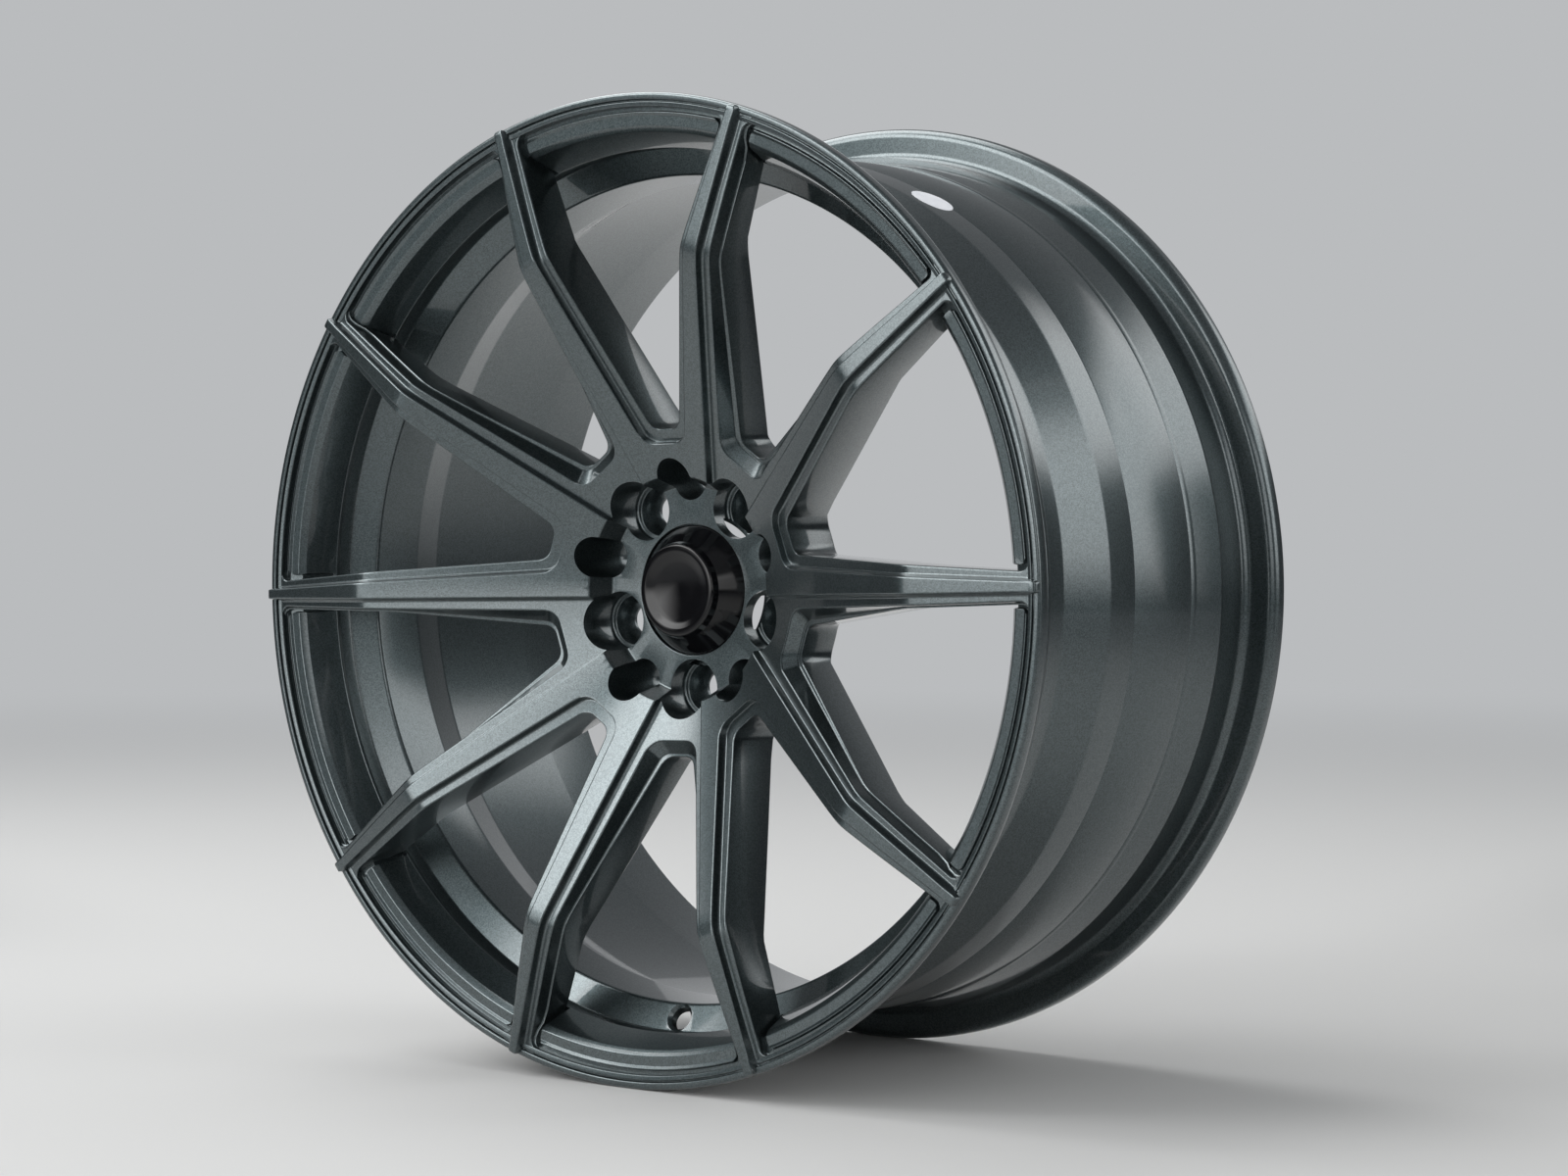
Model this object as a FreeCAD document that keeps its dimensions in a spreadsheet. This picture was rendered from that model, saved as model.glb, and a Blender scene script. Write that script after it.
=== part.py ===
import FreeCAD, Part
import Sketcher
import math
import os

# Alloy wheel for a car, 18 x 8 J, ten spokes in five V pairs, with its snap-in centre cap.
# The axle runs along Y, the street side faces -Y and +Z is up. The origin is the rim's middle.

doc = FreeCAD.newDocument("alloy_wheel")
dims = doc.addObject("Spreadsheet::Sheet", "dims")

# Driving dimensions in millimetres and degrees. A depth is measured backwards from the front lip's
# plane, a drop inwards from the bead seat and an inset inwards from the lip's outer edge. A half
# width is measured at the hub station or at the rim station along a window's middle.
SIZES = {
    "front_datum": 60, "through_length": 200,
    # rim: tyre side
    "bead_seat_diameter": 457.2, "flange_height": 17.3, "rim_width": 203.2, "flange_thickness": 10.4,
    "flange_curl": 6.4, "bead_heel_fillet": 5, "bead_seat_width": 19, "bead_seat_fall": 1.6,
    "hump_rise": 0.3, "hump_width": 4, "well_drop": 16.1, "well_front_depth": 47, "well_rear_depth": 72,
    "well_shoulder_depth": 38, "well_shoulder_fall": 1.2,
    "mid_barrel_drop": 6.6, "mid_barrel_depth": 98, "rear_barrel_drop": 3.4, "rear_barrel_depth": 172,
    # rim: inner side
    "barrel_wall": 5.6, "rear_lip_land": 5, "rear_flange_wall": 6,
    "valve_slope_top_inset": 24.1, "valve_slope_top_depth": 35.5,
    "valve_slope_foot_inset": 37.9, "valve_slope_foot_depth": 42.5,
    "throat_inset": 25.6, "throat_depth": 24, "throat_back_depth": 27.5,
    "band_edge_inset": 19, "band_edge_depth": 7.5, "band_inset": 16.1, "band_depth": 4.7,
    # rim: rings behind the lip
    "lip_round": 1.8, "bead_width": 3.6, "groove_depth": 1.2, "ring_outer": 4.6, "ring_drop": 0.6,
    "ring_inner": 7, "ring_fall": 0.5, "channel_depth": 5.4, "channel_width": 2, "ridge_width": 0.5,
    "ridge_depth": 3.1, "ridge_slope": 1.7, "gap_width": 3, "gap_depth": 2.5, "island_round": 4.5,
    # spoke disc: face, ledge and back seen in section
    "recess_radius": 57.5, "recess_foot_radius": 52.8, "recess_face_depth": 41.5, "plate_depth": 55,
    "kink_inset": 72.9, "kink_rise": 8.5, "kink_round": 18, "tip_setback": 0.4, "tip_rise": 3,
    "ledge_drop": 4.4, "ledge_flat_inset": 6.9, "ledge_flat_depth": 1.3, "second_drop": 8,
    "back_inset": 62.9, "back_depth": 24, "back_foot_radius": 88, "back_foot_depth": 64.5,
    "spoke_anchor_inset": 21.9,
    # windows in the spoke disc, seen from the front
    "first_pair_angle": 91.2, "hub_station": 80, "rim_station": 230,
    "vee_face_hub": 15.4, "vee_face_rim": 71.4, "vee_face_crotch": 73.8, "vee_face_fillet": 10,
    "vee_open_hub": 8, "vee_open_rim": 66.9, "vee_open_crotch": 81.2, "vee_open_fillet": 7,
    "valley_face_hub": 22.7, "valley_face_rim": 72.6, "valley_mouth": 45,
    "valley_ledge_hub": 15.6, "valley_ledge_rim": 68.2, "valley_ledge_crotch": 76, "valley_ledge_fillet": 9,
    "valley_open_half": 8.7, "valley_open_crotch": 84, "valley_open_fillet": 7, "valley_knee": 158,
    "window_rim_inset": 6.8, "window_rim_fillet": 5,
    # hub
    "offset": 35, "pad_radius": 78, "pad_chamfer": 3, "centre_bore": 73.1, "bore_chamfer": 2,
    "cap_seat_radius": 33.3, "cap_seat_depth": 2.5, "cap_bore_radius": 30.5, "cap_lip_thickness": 4.5,
    "chamber_step": 2.4, "chamber_clearance": 1,
    "ring_pcd": 100, "pocket_pcd": 112, "bolt_hole": 15, "ring_counterbore": 30, "ring_seat_diameter": 25,
    "ring_seat_depth": 66, "pocket_bore": 21, "pocket_seat_depth": 64.5, "seat_half_angle": 30,
    "relief_depth": 8, "relief_inner": 60, "relief_outer": 73, "relief_half_inner": 4, "relief_half_outer": 7.5,
    "relief_fillet": 3,
    # valve hole
    "valve_hole": 11.3, "valve_sink": 15, "valve_sink_depth": 1.6,
    # centre cap
    "cap_clearance": 0.4, "cap_flange": 2, "cap_cone_radius": 24.5, "cap_cone_rise": 9.5, "cap_boss_radius": 23,
    "cap_boss_rise": 13.3, "cap_rim_width": 3.2, "cap_dish_radius": 15.5, "cap_dish_drop": 1.6,
    "cap_centre_drop": 3, "cap_wall": 2.2, "prong_gap": 0.9, "prong_wall": 2, "prong_length": 9,
    "hook_reach": 1.1, "hook_clearance": 0.3, "hook_height": 2.6, "prong_slot": 7, "prong_count": 8,
    "wire_radius": 0.9, "wire_clearance": 0.1, "wire_groove": 0.7, "wire_split": 24,
}
PAIRS = 5
for row, (alias, size) in enumerate(SIZES.items(), start=1):
    dims.set("A%d" % row, alias)
    dims.set("B%d" % row, str(size))
    dims.setAlias("B%d" % row, alias)
doc.recompute()

# Sizes that follow from the driving ones
LIP = "(dims.bead_seat_diameter / 2 + dims.flange_height)"
BEAD = "(dims.bead_seat_diameter / 2)"
OVERALL = "(dims.rim_width + 2 * dims.flange_thickness)"
FRONT = "(-%s / 2)" % OVERALL
PAD = "(%s / 2 - dims.offset)" % OVERALL
WELL = "(%s - dims.well_drop)" % BEAD
MID_BARREL = "(%s - dims.mid_barrel_drop)" % BEAD
REAR_BARREL = "(%s - dims.rear_barrel_drop)" % BEAD
VALVE_TOP = "(%s - dims.valve_slope_top_inset)" % LIP
VALVE_FOOT = "(%s - dims.valve_slope_foot_inset)" % LIP
BAND = "(%s - dims.band_inset)" % LIP
RIDGE = "(%s - dims.ring_inner - dims.channel_width - dims.ridge_width)" % LIP
KINK = "(%s - dims.kink_inset)" % LIP


def size(alias):
    """The plain number in a cell of the sheet."""
    return dims.get(alias)


def deep(expression):
    """A depth behind the lip plane, as a height above the drawing datum in front of the wheel."""
    return "dims.front_datum + %s" % expression


def along(hub, rim, station):
    """Half width of a straight window side at a station, from its half widths at hub and rim."""
    run = "(%s - dims.hub_station) / (dims.rim_station - dims.hub_station)" % station
    return "(dims.%s + (dims.%s - dims.%s) * %s)" % (hub, rim, hub, run)


def face_depth(radius):
    """Depth of the spoke face inside the kink, on the straight line from the hub recess."""
    fall = "(dims.recess_face_depth + dims.kink_rise) / (%s - dims.recess_radius)" % KINK
    return "(%s * (%s - %s) - dims.kink_rise)" % (fall, KINK, radius)


def bind(sketch, constraint, expression):
    """Add a constraint whose value follows an expression on the sheet."""
    index = sketch.addConstraint(constraint)
    sketch.setExpression("Constraints[%d]" % index, expression)


def hold_point(sketch, geo, pos, x, y):
    """Fix a point of the sketch at x and y, both expressions."""
    for kind, axis, expression in (("DistanceX", -2, x), ("DistanceY", -1, y)):
        value = sketch.evalExpression(expression)
        if value == 0:
            sketch.addConstraint(Sketcher.Constraint("PointOnObject", geo, pos, axis))
        elif value > 0:
            bind(sketch, Sketcher.Constraint(kind, -1, 1, geo, pos, value), expression)
        else:
            bind(sketch, Sketcher.Constraint(kind, geo, pos, -1, 1, -value), "-(%s)" % expression)


def add_arc(sketch, centre, start, end, left):
    """Arc from start to end, turning left or right, and the end numbers of its start and end."""
    first, last = (start, end) if left else (end, start)
    angles = [math.atan2(p.y - centre.y, p.x - centre.x) for p in (first, last)]
    circle = Part.Circle(centre, FreeCAD.Vector(0, 0, 1), (start - centre).Length)
    geo = sketch.addGeometry(Part.ArcOfCircle(circle, angles[0], angles[1]))
    return (geo, 1, 2) if left else (geo, 2, 1)


def corner_arc(before, corner, after, radius):
    """Centre and ends of the round of a corner, and whether it turns left."""
    back = (before - corner).normalize()
    on = (after - corner).normalize()
    half = math.acos(max(-1.0, min(1.0, back.dot(on)))) / 2
    reach = radius / math.tan(half)
    centre = corner + (back + on).normalize() * (radius / math.sin(half))
    left = back.cross(on).z < 0
    return centre, corner + back * reach, corner + on * reach, left


def join_corner(sketch, line_in, line_out, x, y, arc, radius):
    """Join two sides at a corner held at x and y, sharp or with a tangent round."""
    if arc is None:
        sketch.addConstraint(Sketcher.Constraint("Coincident", line_in, 2, line_out, 1))
        hold_point(sketch, line_out, 1, x, y)
        return
    geo, start, end = add_arc(sketch, *arc)
    sketch.addConstraint(Sketcher.Constraint("Tangent", line_in, 2, geo, start))
    sketch.addConstraint(Sketcher.Constraint("Tangent", geo, end, line_out, 1))
    bind(sketch, Sketcher.Constraint("Radius", geo, arc[0].distanceToPoint(arc[1])), radius)
    point = sketch.addGeometry(Part.Point(corner_of(sketch, x, y)), True)
    hold_point(sketch, point, 1, x, y)
    sketch.addConstraint(Sketcher.Constraint("PointOnObject", point, 1, line_in))
    sketch.addConstraint(Sketcher.Constraint("PointOnObject", point, 1, line_out))


def corner_of(sketch, x, y):
    return FreeCAD.Vector(sketch.evalExpression(x), sketch.evalExpression(y), 0)


def draw_outline(sketch, corners):
    """Closed outline of straight sides through corners (x, y, round), each an expression."""
    points = [corner_of(sketch, x, y) for x, y, _ in corners]
    count = len(points)
    arcs = []
    for i, (_, _, radius) in enumerate(corners):
        arc = None
        if radius:
            arc = corner_arc(points[i - 1], points[i], points[(i + 1) % count], sketch.evalExpression(radius))
        arcs.append(arc)
    lines = []
    for i in range(count):
        after = (i + 1) % count
        start = arcs[i][2] if arcs[i] else points[i]
        end = arcs[after][1] if arcs[after] else points[after]
        lines.append(sketch.addGeometry(Part.LineSegment(start, end)))
    for i, (x, y, radius) in enumerate(corners):
        join_corner(sketch, lines[i - 1], lines[i], x, y, arcs[i], radius)


def section(name, corners):
    """Half section of a turned piece: radius along x, depth behind the front datum along y."""
    sketch = doc.addObject("Sketcher::SketchObject", name)
    sketch.setExpression("Placement.Base.y", "%s - dims.front_datum" % FRONT)
    draw_outline(sketch, [(x, deep(y), radius) for x, y, radius in corners])
    return sketch


def turn(name, sketch):
    """Solid of revolution about the axle."""
    turned = doc.addObject("Part::Revolution", name)
    turned.Source = sketch
    turned.Axis = (0, 1, 0)
    turned.Angle = 360
    turned.Solid = True
    return turned


def window(name, sides, aim, rim_radius, rim_fillet):
    """Outline of a window, its middle along x: sides are (x, half width, round) from crotch outwards.

    The last side runs on through the aim point to an arc about the axle, with a round there if named.
    """
    sketch = doc.addObject("Sketcher::SketchObject", name)
    sketch.Placement.Rotation = FreeCAD.Rotation(FreeCAD.Vector(1, 0, 0), 90)
    sketch.setExpression("Placement.Base.y", "%s - dims.front_datum" % FRONT)
    upper = list(sides)
    lower = [(x, "-%s" % y, radius) for x, y, radius in reversed(upper)]
    corners = lower + upper
    radius = sketch.evalExpression(rim_radius)
    fillet = sketch.evalExpression(rim_fillet) if rim_fillet else 0
    ends = []
    for sign, last in ((-1, corners[0]), (1, corners[-1])):
        foot = corner_of(sketch, last[0], last[1])
        target = corner_of(sketch, aim[0], aim[1])
        target.y *= sign
        run = (target - foot).normalize()
        inward = FreeCAD.Vector(run.y, -run.x, 0) * sign
        base = foot + inward * fillet
        lean = base.dot(run)
        reach = math.sqrt(lean ** 2 - base.dot(base) + (radius - fillet) ** 2) - lean
        centre = base + run * reach
        ends.append((centre, centre - inward * fillet, centre * (radius / centre.Length), target))
    points = [ends[0][1]] + [corner_of(sketch, x, y) for x, y, _ in corners] + [ends[1][1]]
    arcs = []
    for i, (_, _, corner_round) in enumerate(corners, start=1):
        arc = None
        if corner_round:
            arc = corner_arc(points[i - 1], points[i], points[i + 1], sketch.evalExpression(corner_round))
        arcs.append(arc)
    lines = []
    for i in range(len(points) - 1):
        start = arcs[i - 1][2] if i > 0 and arcs[i - 1] else points[i]
        end = arcs[i][1] if i < len(arcs) and arcs[i] else points[i + 1]
        lines.append(sketch.addGeometry(Part.LineSegment(start, end)))
    for i, (x, y, corner_round) in enumerate(corners):
        join_corner(sketch, lines[i], lines[i + 1], x, y, arcs[i], corner_round)
    axle = FreeCAD.Vector(0, 0, 0)
    rim_arc, rim_low, rim_high = add_arc(sketch, axle, ends[0][2], ends[1][2], True)
    sketch.addConstraint(Sketcher.Constraint("Coincident", rim_arc, 3, -1, 1))
    bind(sketch, Sketcher.Constraint("Radius", rim_arc, radius), rim_radius)
    for sign, line, line_end, rim_end, end in ((-1, lines[0], 1, rim_low, ends[0]),
                                               (1, lines[-1], 2, rim_high, ends[1])):
        point = sketch.addGeometry(Part.Point(end[3]), True)
        hold_point(sketch, point, 1, aim[0], aim[1] if sign > 0 else "-%s" % aim[1])
        sketch.addConstraint(Sketcher.Constraint("PointOnObject", point, 1, line))
        if not rim_fillet:
            sketch.addConstraint(Sketcher.Constraint("Coincident", line, line_end, rim_arc, rim_end))
            continue
        geo, start, stop = add_arc(sketch, end[0], end[1], end[2], sign < 0)
        sketch.addConstraint(Sketcher.Constraint("Tangent", line, line_end, geo, start))
        sketch.addConstraint(Sketcher.Constraint("Tangent", geo, stop, rim_arc, rim_end))
        bind(sketch, Sketcher.Constraint("Radius", geo, fillet), rim_fillet)
    return sketch


def stand(obj, angle):
    """Turn an object about the axle, counted from +X towards +Z."""
    obj.Placement = FreeCAD.Placement(FreeCAD.Vector(0, 0, 0), FreeCAD.Rotation(FreeCAD.Vector(0, 1, 0), -angle))


def cut_through(name, sketch, start_angle, count):
    """Straight cutters along the axle from one outline, set round the wheel."""
    cutters = []
    for k in range(count):
        cutter = doc.addObject("Part::Extrusion", "%s_%d" % (name, k + 1))
        cutter.Base = sketch
        cutter.DirMode = "Custom"
        cutter.Dir = (0, 1, 0)
        cutter.Solid = True
        cutter.setExpression("LengthFwd", "dims.through_length")
        stand(cutter, start_angle - 360 / count * k)
        cutters.append(cutter)
    return cutters


def group(name, objects):
    compound = doc.addObject("Part::Compound", name)
    compound.Links = objects
    return compound


def combine(kind, name, base, tool):
    """Boolean of two objects: Part::Cut, Part::Fuse or Part::Common."""
    result = doc.addObject(kind, name)
    result.Base = base
    result.Tool = tool
    result.Refine = True
    return result


# Rim, flow from the front lip over the tyre side to the rear lip and back along the inner side
rear = "%s - " % OVERALL
rim = turn("rim", section("rim_section", [
    (LIP, "dims.lip_round", None),
    (LIP, "dims.flange_thickness", "dims.flange_curl"),
    (BEAD, "dims.flange_thickness", "dims.bead_heel_fillet"),
    (BEAD + " - dims.bead_seat_fall", "dims.flange_thickness + dims.bead_seat_width", None),
    (BEAD + " + dims.hump_rise", "dims.flange_thickness + dims.bead_seat_width + dims.hump_width", None),
    (BEAD + " - dims.well_shoulder_fall", "dims.well_shoulder_depth", None),
    (WELL, "dims.well_front_depth", None),
    (WELL, "dims.well_rear_depth", None),
    (MID_BARREL, "dims.mid_barrel_depth", None),
    (REAR_BARREL, "dims.rear_barrel_depth", None),
    (BEAD + " + dims.hump_rise", rear + "dims.flange_thickness - dims.bead_seat_width - dims.hump_width", None),
    (BEAD + " - dims.bead_seat_fall", rear + "dims.flange_thickness - dims.bead_seat_width", None),
    (BEAD, rear + "dims.flange_thickness", "dims.bead_heel_fillet"),
    (LIP, rear + "dims.flange_thickness", "dims.flange_curl"),
    (LIP, rear + "dims.lip_round", None),
    (LIP + " - dims.lip_round", OVERALL, None),
    (LIP + " - dims.rear_lip_land", OVERALL, None),
    (BEAD + " - dims.barrel_wall", rear + "dims.flange_thickness + dims.rear_flange_wall - dims.bead_heel_fillet",
     None),
    (REAR_BARREL + " - dims.barrel_wall", "dims.rear_barrel_depth", None),
    (MID_BARREL + " - dims.barrel_wall", "dims.mid_barrel_depth", None),
    (WELL + " - dims.barrel_wall", "dims.well_rear_depth", None),
    (VALVE_FOOT, "dims.valve_slope_foot_depth", None),
    (VALVE_TOP, "dims.valve_slope_top_depth", None),
    (VALVE_TOP, "dims.throat_back_depth", None),
    (LIP + " - dims.throat_inset", "dims.throat_depth", None),
    (LIP + " - dims.band_edge_inset", "dims.band_edge_depth", None),
    (BAND, "dims.band_depth", None),
    (RIDGE + " - dims.ridge_slope", "dims.band_depth", None),
    (RIDGE, "dims.ridge_depth", None),
    (RIDGE + " + dims.ridge_width", "dims.channel_depth", None),
    (LIP + " - dims.ring_inner", "dims.channel_depth", None),
    (LIP + " - dims.ring_inner", "dims.ring_drop + dims.ring_fall", None),
    (LIP + " - dims.ring_outer", "dims.ring_drop", None),
    (LIP + " - dims.ring_outer", "dims.groove_depth", None),
    (LIP + " - dims.bead_width", "dims.groove_depth", None),
    (LIP + " - dims.bead_width", "0", None),
    (LIP + " - dims.lip_round", "0", None),
]))

# Spoke disc before its windows are cut: hub, faces up to the kink and on to the lip, and the back
bore = "dims.centre_bore / 2"
cap_floor = "dims.plate_depth + dims.cap_seat_depth"
prong_end = cap_floor + " + dims.prong_length"
chamber_end = prong_end + " + dims.chamber_clearance"
tip = LIP + " - dims.tip_setback"
disc = turn("spoke_disc", section("disc_section", [
    ("dims.cap_seat_radius", "dims.plate_depth", None),
    ("dims.recess_foot_radius", "dims.plate_depth", None),
    ("dims.recess_radius", "dims.recess_face_depth", None),
    (KINK, "-dims.kink_rise", "dims.kink_round"),
    (tip, "-dims.tip_rise", None),
    (tip, "dims.channel_depth", None),
    (BAND, "dims.band_edge_depth", None),
    (LIP + " - dims.spoke_anchor_inset", "dims.back_depth", None),
    (LIP + " - dims.back_inset", "dims.back_depth", None),
    ("dims.back_foot_radius", "dims.back_foot_depth", None),
    ("dims.pad_radius", PAD + " - dims.pad_chamfer", None),
    ("dims.pad_radius - dims.pad_chamfer", PAD, None),
    (bore + " + dims.bore_chamfer", PAD, None),
    (bore, PAD + " - dims.bore_chamfer", None),
    (bore, chamber_end, None),
    (bore + " + dims.chamber_step", chamber_end, None),
    (bore + " + dims.chamber_step", cap_floor + " + dims.cap_lip_thickness", None),
    ("dims.cap_bore_radius", cap_floor + " + dims.cap_lip_thickness", None),
    ("dims.cap_bore_radius", cap_floor, None),
    ("dims.cap_seat_radius", cap_floor, None),
]))

# Layers in front of the ledges: what the windows' steps take away, down to one drop or to two
reach = LIP + " + dims.front_datum"
inner = "dims.cap_bore_radius"
ahead = "-dims.front_datum / 2"


def layer(name, drop):
    """Everything in front of a surface that lies one drop behind the spoke face."""
    flat = "dims.ledge_flat_depth + %s - dims.ledge_drop" % drop
    return turn(name, section(name + "_section", [
        (inner, ahead, None),
        (reach, ahead, None),
        (reach, flat, None),
        (LIP + " - dims.ledge_flat_inset", flat, None),
        (KINK, "%s - dims.kink_rise" % drop, "dims.kink_round"),
        (inner, face_depth(inner) + " + " + drop, None),
    ]))


ledge_layer = layer("ledge_layer", "dims.ledge_drop")
second_layer = layer("second_layer", "dims.ledge_drop + dims.second_drop")

# Window outlines: the face's edge, the ledge's edge and the opening itself
pair_angle = size("first_pair_angle")
valley_angle = pair_angle - 180 / PAIRS
beyond = LIP + " + dims.front_datum / 4"
rim_stop = LIP + " - dims.window_rim_inset"
vee_step = cut_through("vee_step", window("vee_step_outline", [
    ("dims.vee_face_crotch", along("vee_face_hub", "vee_face_rim", "dims.vee_face_crotch"), "dims.vee_face_fillet"),
], ("dims.rim_station", "dims.vee_face_rim"), beyond, None), pair_angle, PAIRS)
vee_window = cut_through("vee_window", window("vee_window_outline", [
    ("dims.vee_open_crotch", along("vee_open_hub", "vee_open_rim", "dims.vee_open_crotch"), "dims.vee_open_fillet"),
], ("dims.rim_station", "dims.vee_open_rim"), rim_stop, "dims.window_rim_fillet"), pair_angle, PAIRS)
valley_step = cut_through("valley_step", window("valley_step_outline", [
    ("dims.valley_mouth", along("valley_face_hub", "valley_face_rim", "dims.valley_mouth"), None),
], ("dims.rim_station", "dims.valley_face_rim"), beyond, None), valley_angle, PAIRS)
valley_ledge = cut_through("valley_ledge", window("valley_ledge_outline", [
    ("dims.valley_ledge_crotch", along("valley_ledge_hub", "valley_ledge_rim", "dims.valley_ledge_crotch"),
     "dims.valley_ledge_fillet"),
], ("dims.rim_station", "dims.valley_ledge_rim"), "dims.valley_knee", None), valley_angle, PAIRS)
knee_half = along("valley_ledge_hub", "valley_ledge_rim", "dims.valley_knee")
valley_window = cut_through("valley_window", window("valley_window_outline", [
    ("dims.valley_open_crotch", "dims.valley_open_half", "dims.valley_open_fillet"),
    ("dims.valley_knee", knee_half, None),
], ("dims.rim_station", "dims.valley_ledge_rim"), rim_stop, "dims.window_rim_fillet"), valley_angle, PAIRS)

# Gaps beside the spokes: between two spokes the rim's band is an island with rounded ends
island_edge = RIDGE + " + dims.ridge_width"
gap_floor = turn("gap_floor", section("gap_floor_section", [
    (VALVE_FOOT, ahead, None),
    (LIP + " - dims.ring_inner", ahead, None),
    (LIP + " - dims.ring_inner", "dims.channel_depth", None),
    (LIP + " - dims.band_edge_inset + dims.gap_depth", "dims.band_edge_depth", None),
    (LIP + " - dims.throat_inset + dims.gap_depth", "dims.throat_depth", None),
    (VALVE_FOOT, "dims.throat_depth", None),
]))


def island(name, hub, rim, angle):
    """What stays of the band in each window, a gap away from the spokes."""
    half = "(%s - dims.gap_width)" % along(hub, rim, "dims.valley_knee")
    outline = window(name + "_outline", [("dims.valley_knee", half, None)],
                     ("dims.rim_station", "(dims.%s - dims.gap_width)" % rim), island_edge, "dims.island_round")
    return cut_through(name, outline, angle, PAIRS)


islands = island("vee_island", "vee_open_hub", "vee_open_rim", pair_angle)
islands += island("valley_island", "valley_ledge_hub", "valley_ledge_rim", valley_angle)
around_islands = combine("Part::Cut", "around_islands", group("windows", vee_window + valley_window),
                         group("islands", islands))
gaps = combine("Part::Common", "gaps", around_islands, gap_floor)

# Relief pockets in the mounting pad, between the bolt holes
relief = cut_through("relief", window("relief_outline", [
    ("dims.relief_inner", "dims.relief_half_inner", "dims.relief_fillet"),
], ("dims.relief_outer", "dims.relief_half_outer"), "dims.relief_outer", "dims.relief_fillet"),
    pair_angle - 90 / PAIRS, 2 * PAIRS)
for pocket in relief:
    pocket.setExpression("Placement.Base.y", "dims.front_datum + %s - dims.relief_depth" % PAD)

# Bolt holes: a socket bore, a conical seat and the hole, one set beside each valley and in each V
hole = "dims.bolt_hole / 2"
cutter_end = "dims.through_length / 2"


def bolt_cutters(name, bore_radius, seat_radius, seat_depth, circle, start_angle):
    """Stepped cutters for one bolt circle."""
    seat_foot = "%s + (%s - %s) / tan(dims.seat_half_angle)" % (seat_depth, seat_radius, hole)
    corners = [("0", ahead, None), (bore_radius, ahead, None), (bore_radius, seat_depth, None)]
    if seat_radius != bore_radius:
        corners.append((seat_radius, seat_depth, None))
    corners += [(hole, seat_foot, None), (hole, cutter_end, None), ("0", cutter_end, None)]
    outline = section(name + "_section", corners)
    cutters = []
    for k in range(PAIRS):
        cutter = turn("%s_%d" % (name, k + 1), outline)
        angle = math.radians(start_angle - 360 / PAIRS * k)
        cutter.setExpression("Placement.Base.x", "dims.%s / 2 * %r" % (circle, math.cos(angle)))
        cutter.setExpression("Placement.Base.z", "dims.%s / 2 * %r" % (circle, math.sin(angle)))
        cutters.append(cutter)
    return cutters


ring_bolts = bolt_cutters("ring_bolt", "dims.ring_counterbore / 2", "dims.ring_seat_diameter / 2",
                          "dims.ring_seat_depth", "ring_pcd", valley_angle)
pocket_bolts = bolt_cutters("pocket_bolt", "dims.pocket_bore / 2", "dims.pocket_bore / 2",
                            "dims.pocket_seat_depth", "pocket_pcd", pair_angle)

# Valve hole: square to the slope between throat and well, in the valley opposite the first V pair
slope_top = dims.evalExpression(VALVE_TOP)
slope_foot = dims.evalExpression(VALVE_FOOT)
slope_radius = (slope_top + slope_foot) / 2
slope_depth = (size("valve_slope_top_depth") + size("valve_slope_foot_depth")) / 2
slope_run = slope_top - slope_foot
slope_rise = size("valve_slope_foot_depth") - size("valve_slope_top_depth")
valve_angle = valley_angle - 360 / PAIRS * (PAIRS // 2)
radial = FreeCAD.Vector(math.cos(math.radians(valve_angle)), 0, math.sin(math.radians(valve_angle)))
slope_normal = (radial * slope_rise + FreeCAD.Vector(0, slope_run, 0)).normalize()
overall = size("rim_width") + 2 * size("flange_thickness")
slope_middle = radial * slope_radius + FreeCAD.Vector(0, slope_depth - overall / 2, 0)
valve_turn = FreeCAD.Rotation(FreeCAD.Vector(0, 0, 1), slope_normal)
valve_drill = doc.addObject("Part::Cylinder", "valve_drill")
valve_drill.setExpression("Radius", "dims.valve_hole / 2")
valve_drill.setExpression("Height", "4 * dims.barrel_wall")
valve_drill.Placement = FreeCAD.Placement(slope_middle - slope_normal * (2 * size("barrel_wall")), valve_turn)
valve_sink = doc.addObject("Part::Cone", "valve_sink")
valve_sink.setExpression("Radius1", "dims.valve_sink / 2")
valve_sink.setExpression("Radius2", "dims.valve_hole / 2")
valve_sink.setExpression("Height", "dims.valve_sink_depth")
valve_sink.Placement = FreeCAD.Placement(slope_middle, valve_turn)

# The casting: steps, ledges, windows and holes cut from the disc, then joined with the drilled rim
stepped = combine("Part::Common", "steps", group("step_cutters", vee_step + valley_step), ledge_layer)
spokes = combine("Part::Cut", "stepped_disc", disc, stepped)
ledged = combine("Part::Common", "second_steps", group("ledge_cutters", valley_ledge), second_layer)
spokes = combine("Part::Cut", "ledged_disc", spokes, ledged)
spokes = combine("Part::Cut", "open_disc", spokes, group("window_cutters", vee_window + valley_window))
spokes = combine("Part::Cut", "relieved_disc", spokes, group("relief_cutters", relief))
spokes = combine("Part::Cut", "ring_drilled_disc", spokes, group("ring_bolt_cutters", ring_bolts))
spokes = combine("Part::Cut", "drilled_disc", spokes, group("pocket_bolt_cutters", pocket_bolts))
gapped_rim = combine("Part::Cut", "gapped_rim", rim, gaps)
valve_cutter = combine("Part::Fuse", "valve_cutter", valve_drill, valve_sink)
drilled_rim = combine("Part::Cut", "drilled_rim", gapped_rim, valve_cutter)
wheel = combine("Part::Fuse", "wheel", drilled_rim, spokes)
wheel.Label = "wheel"

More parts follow.
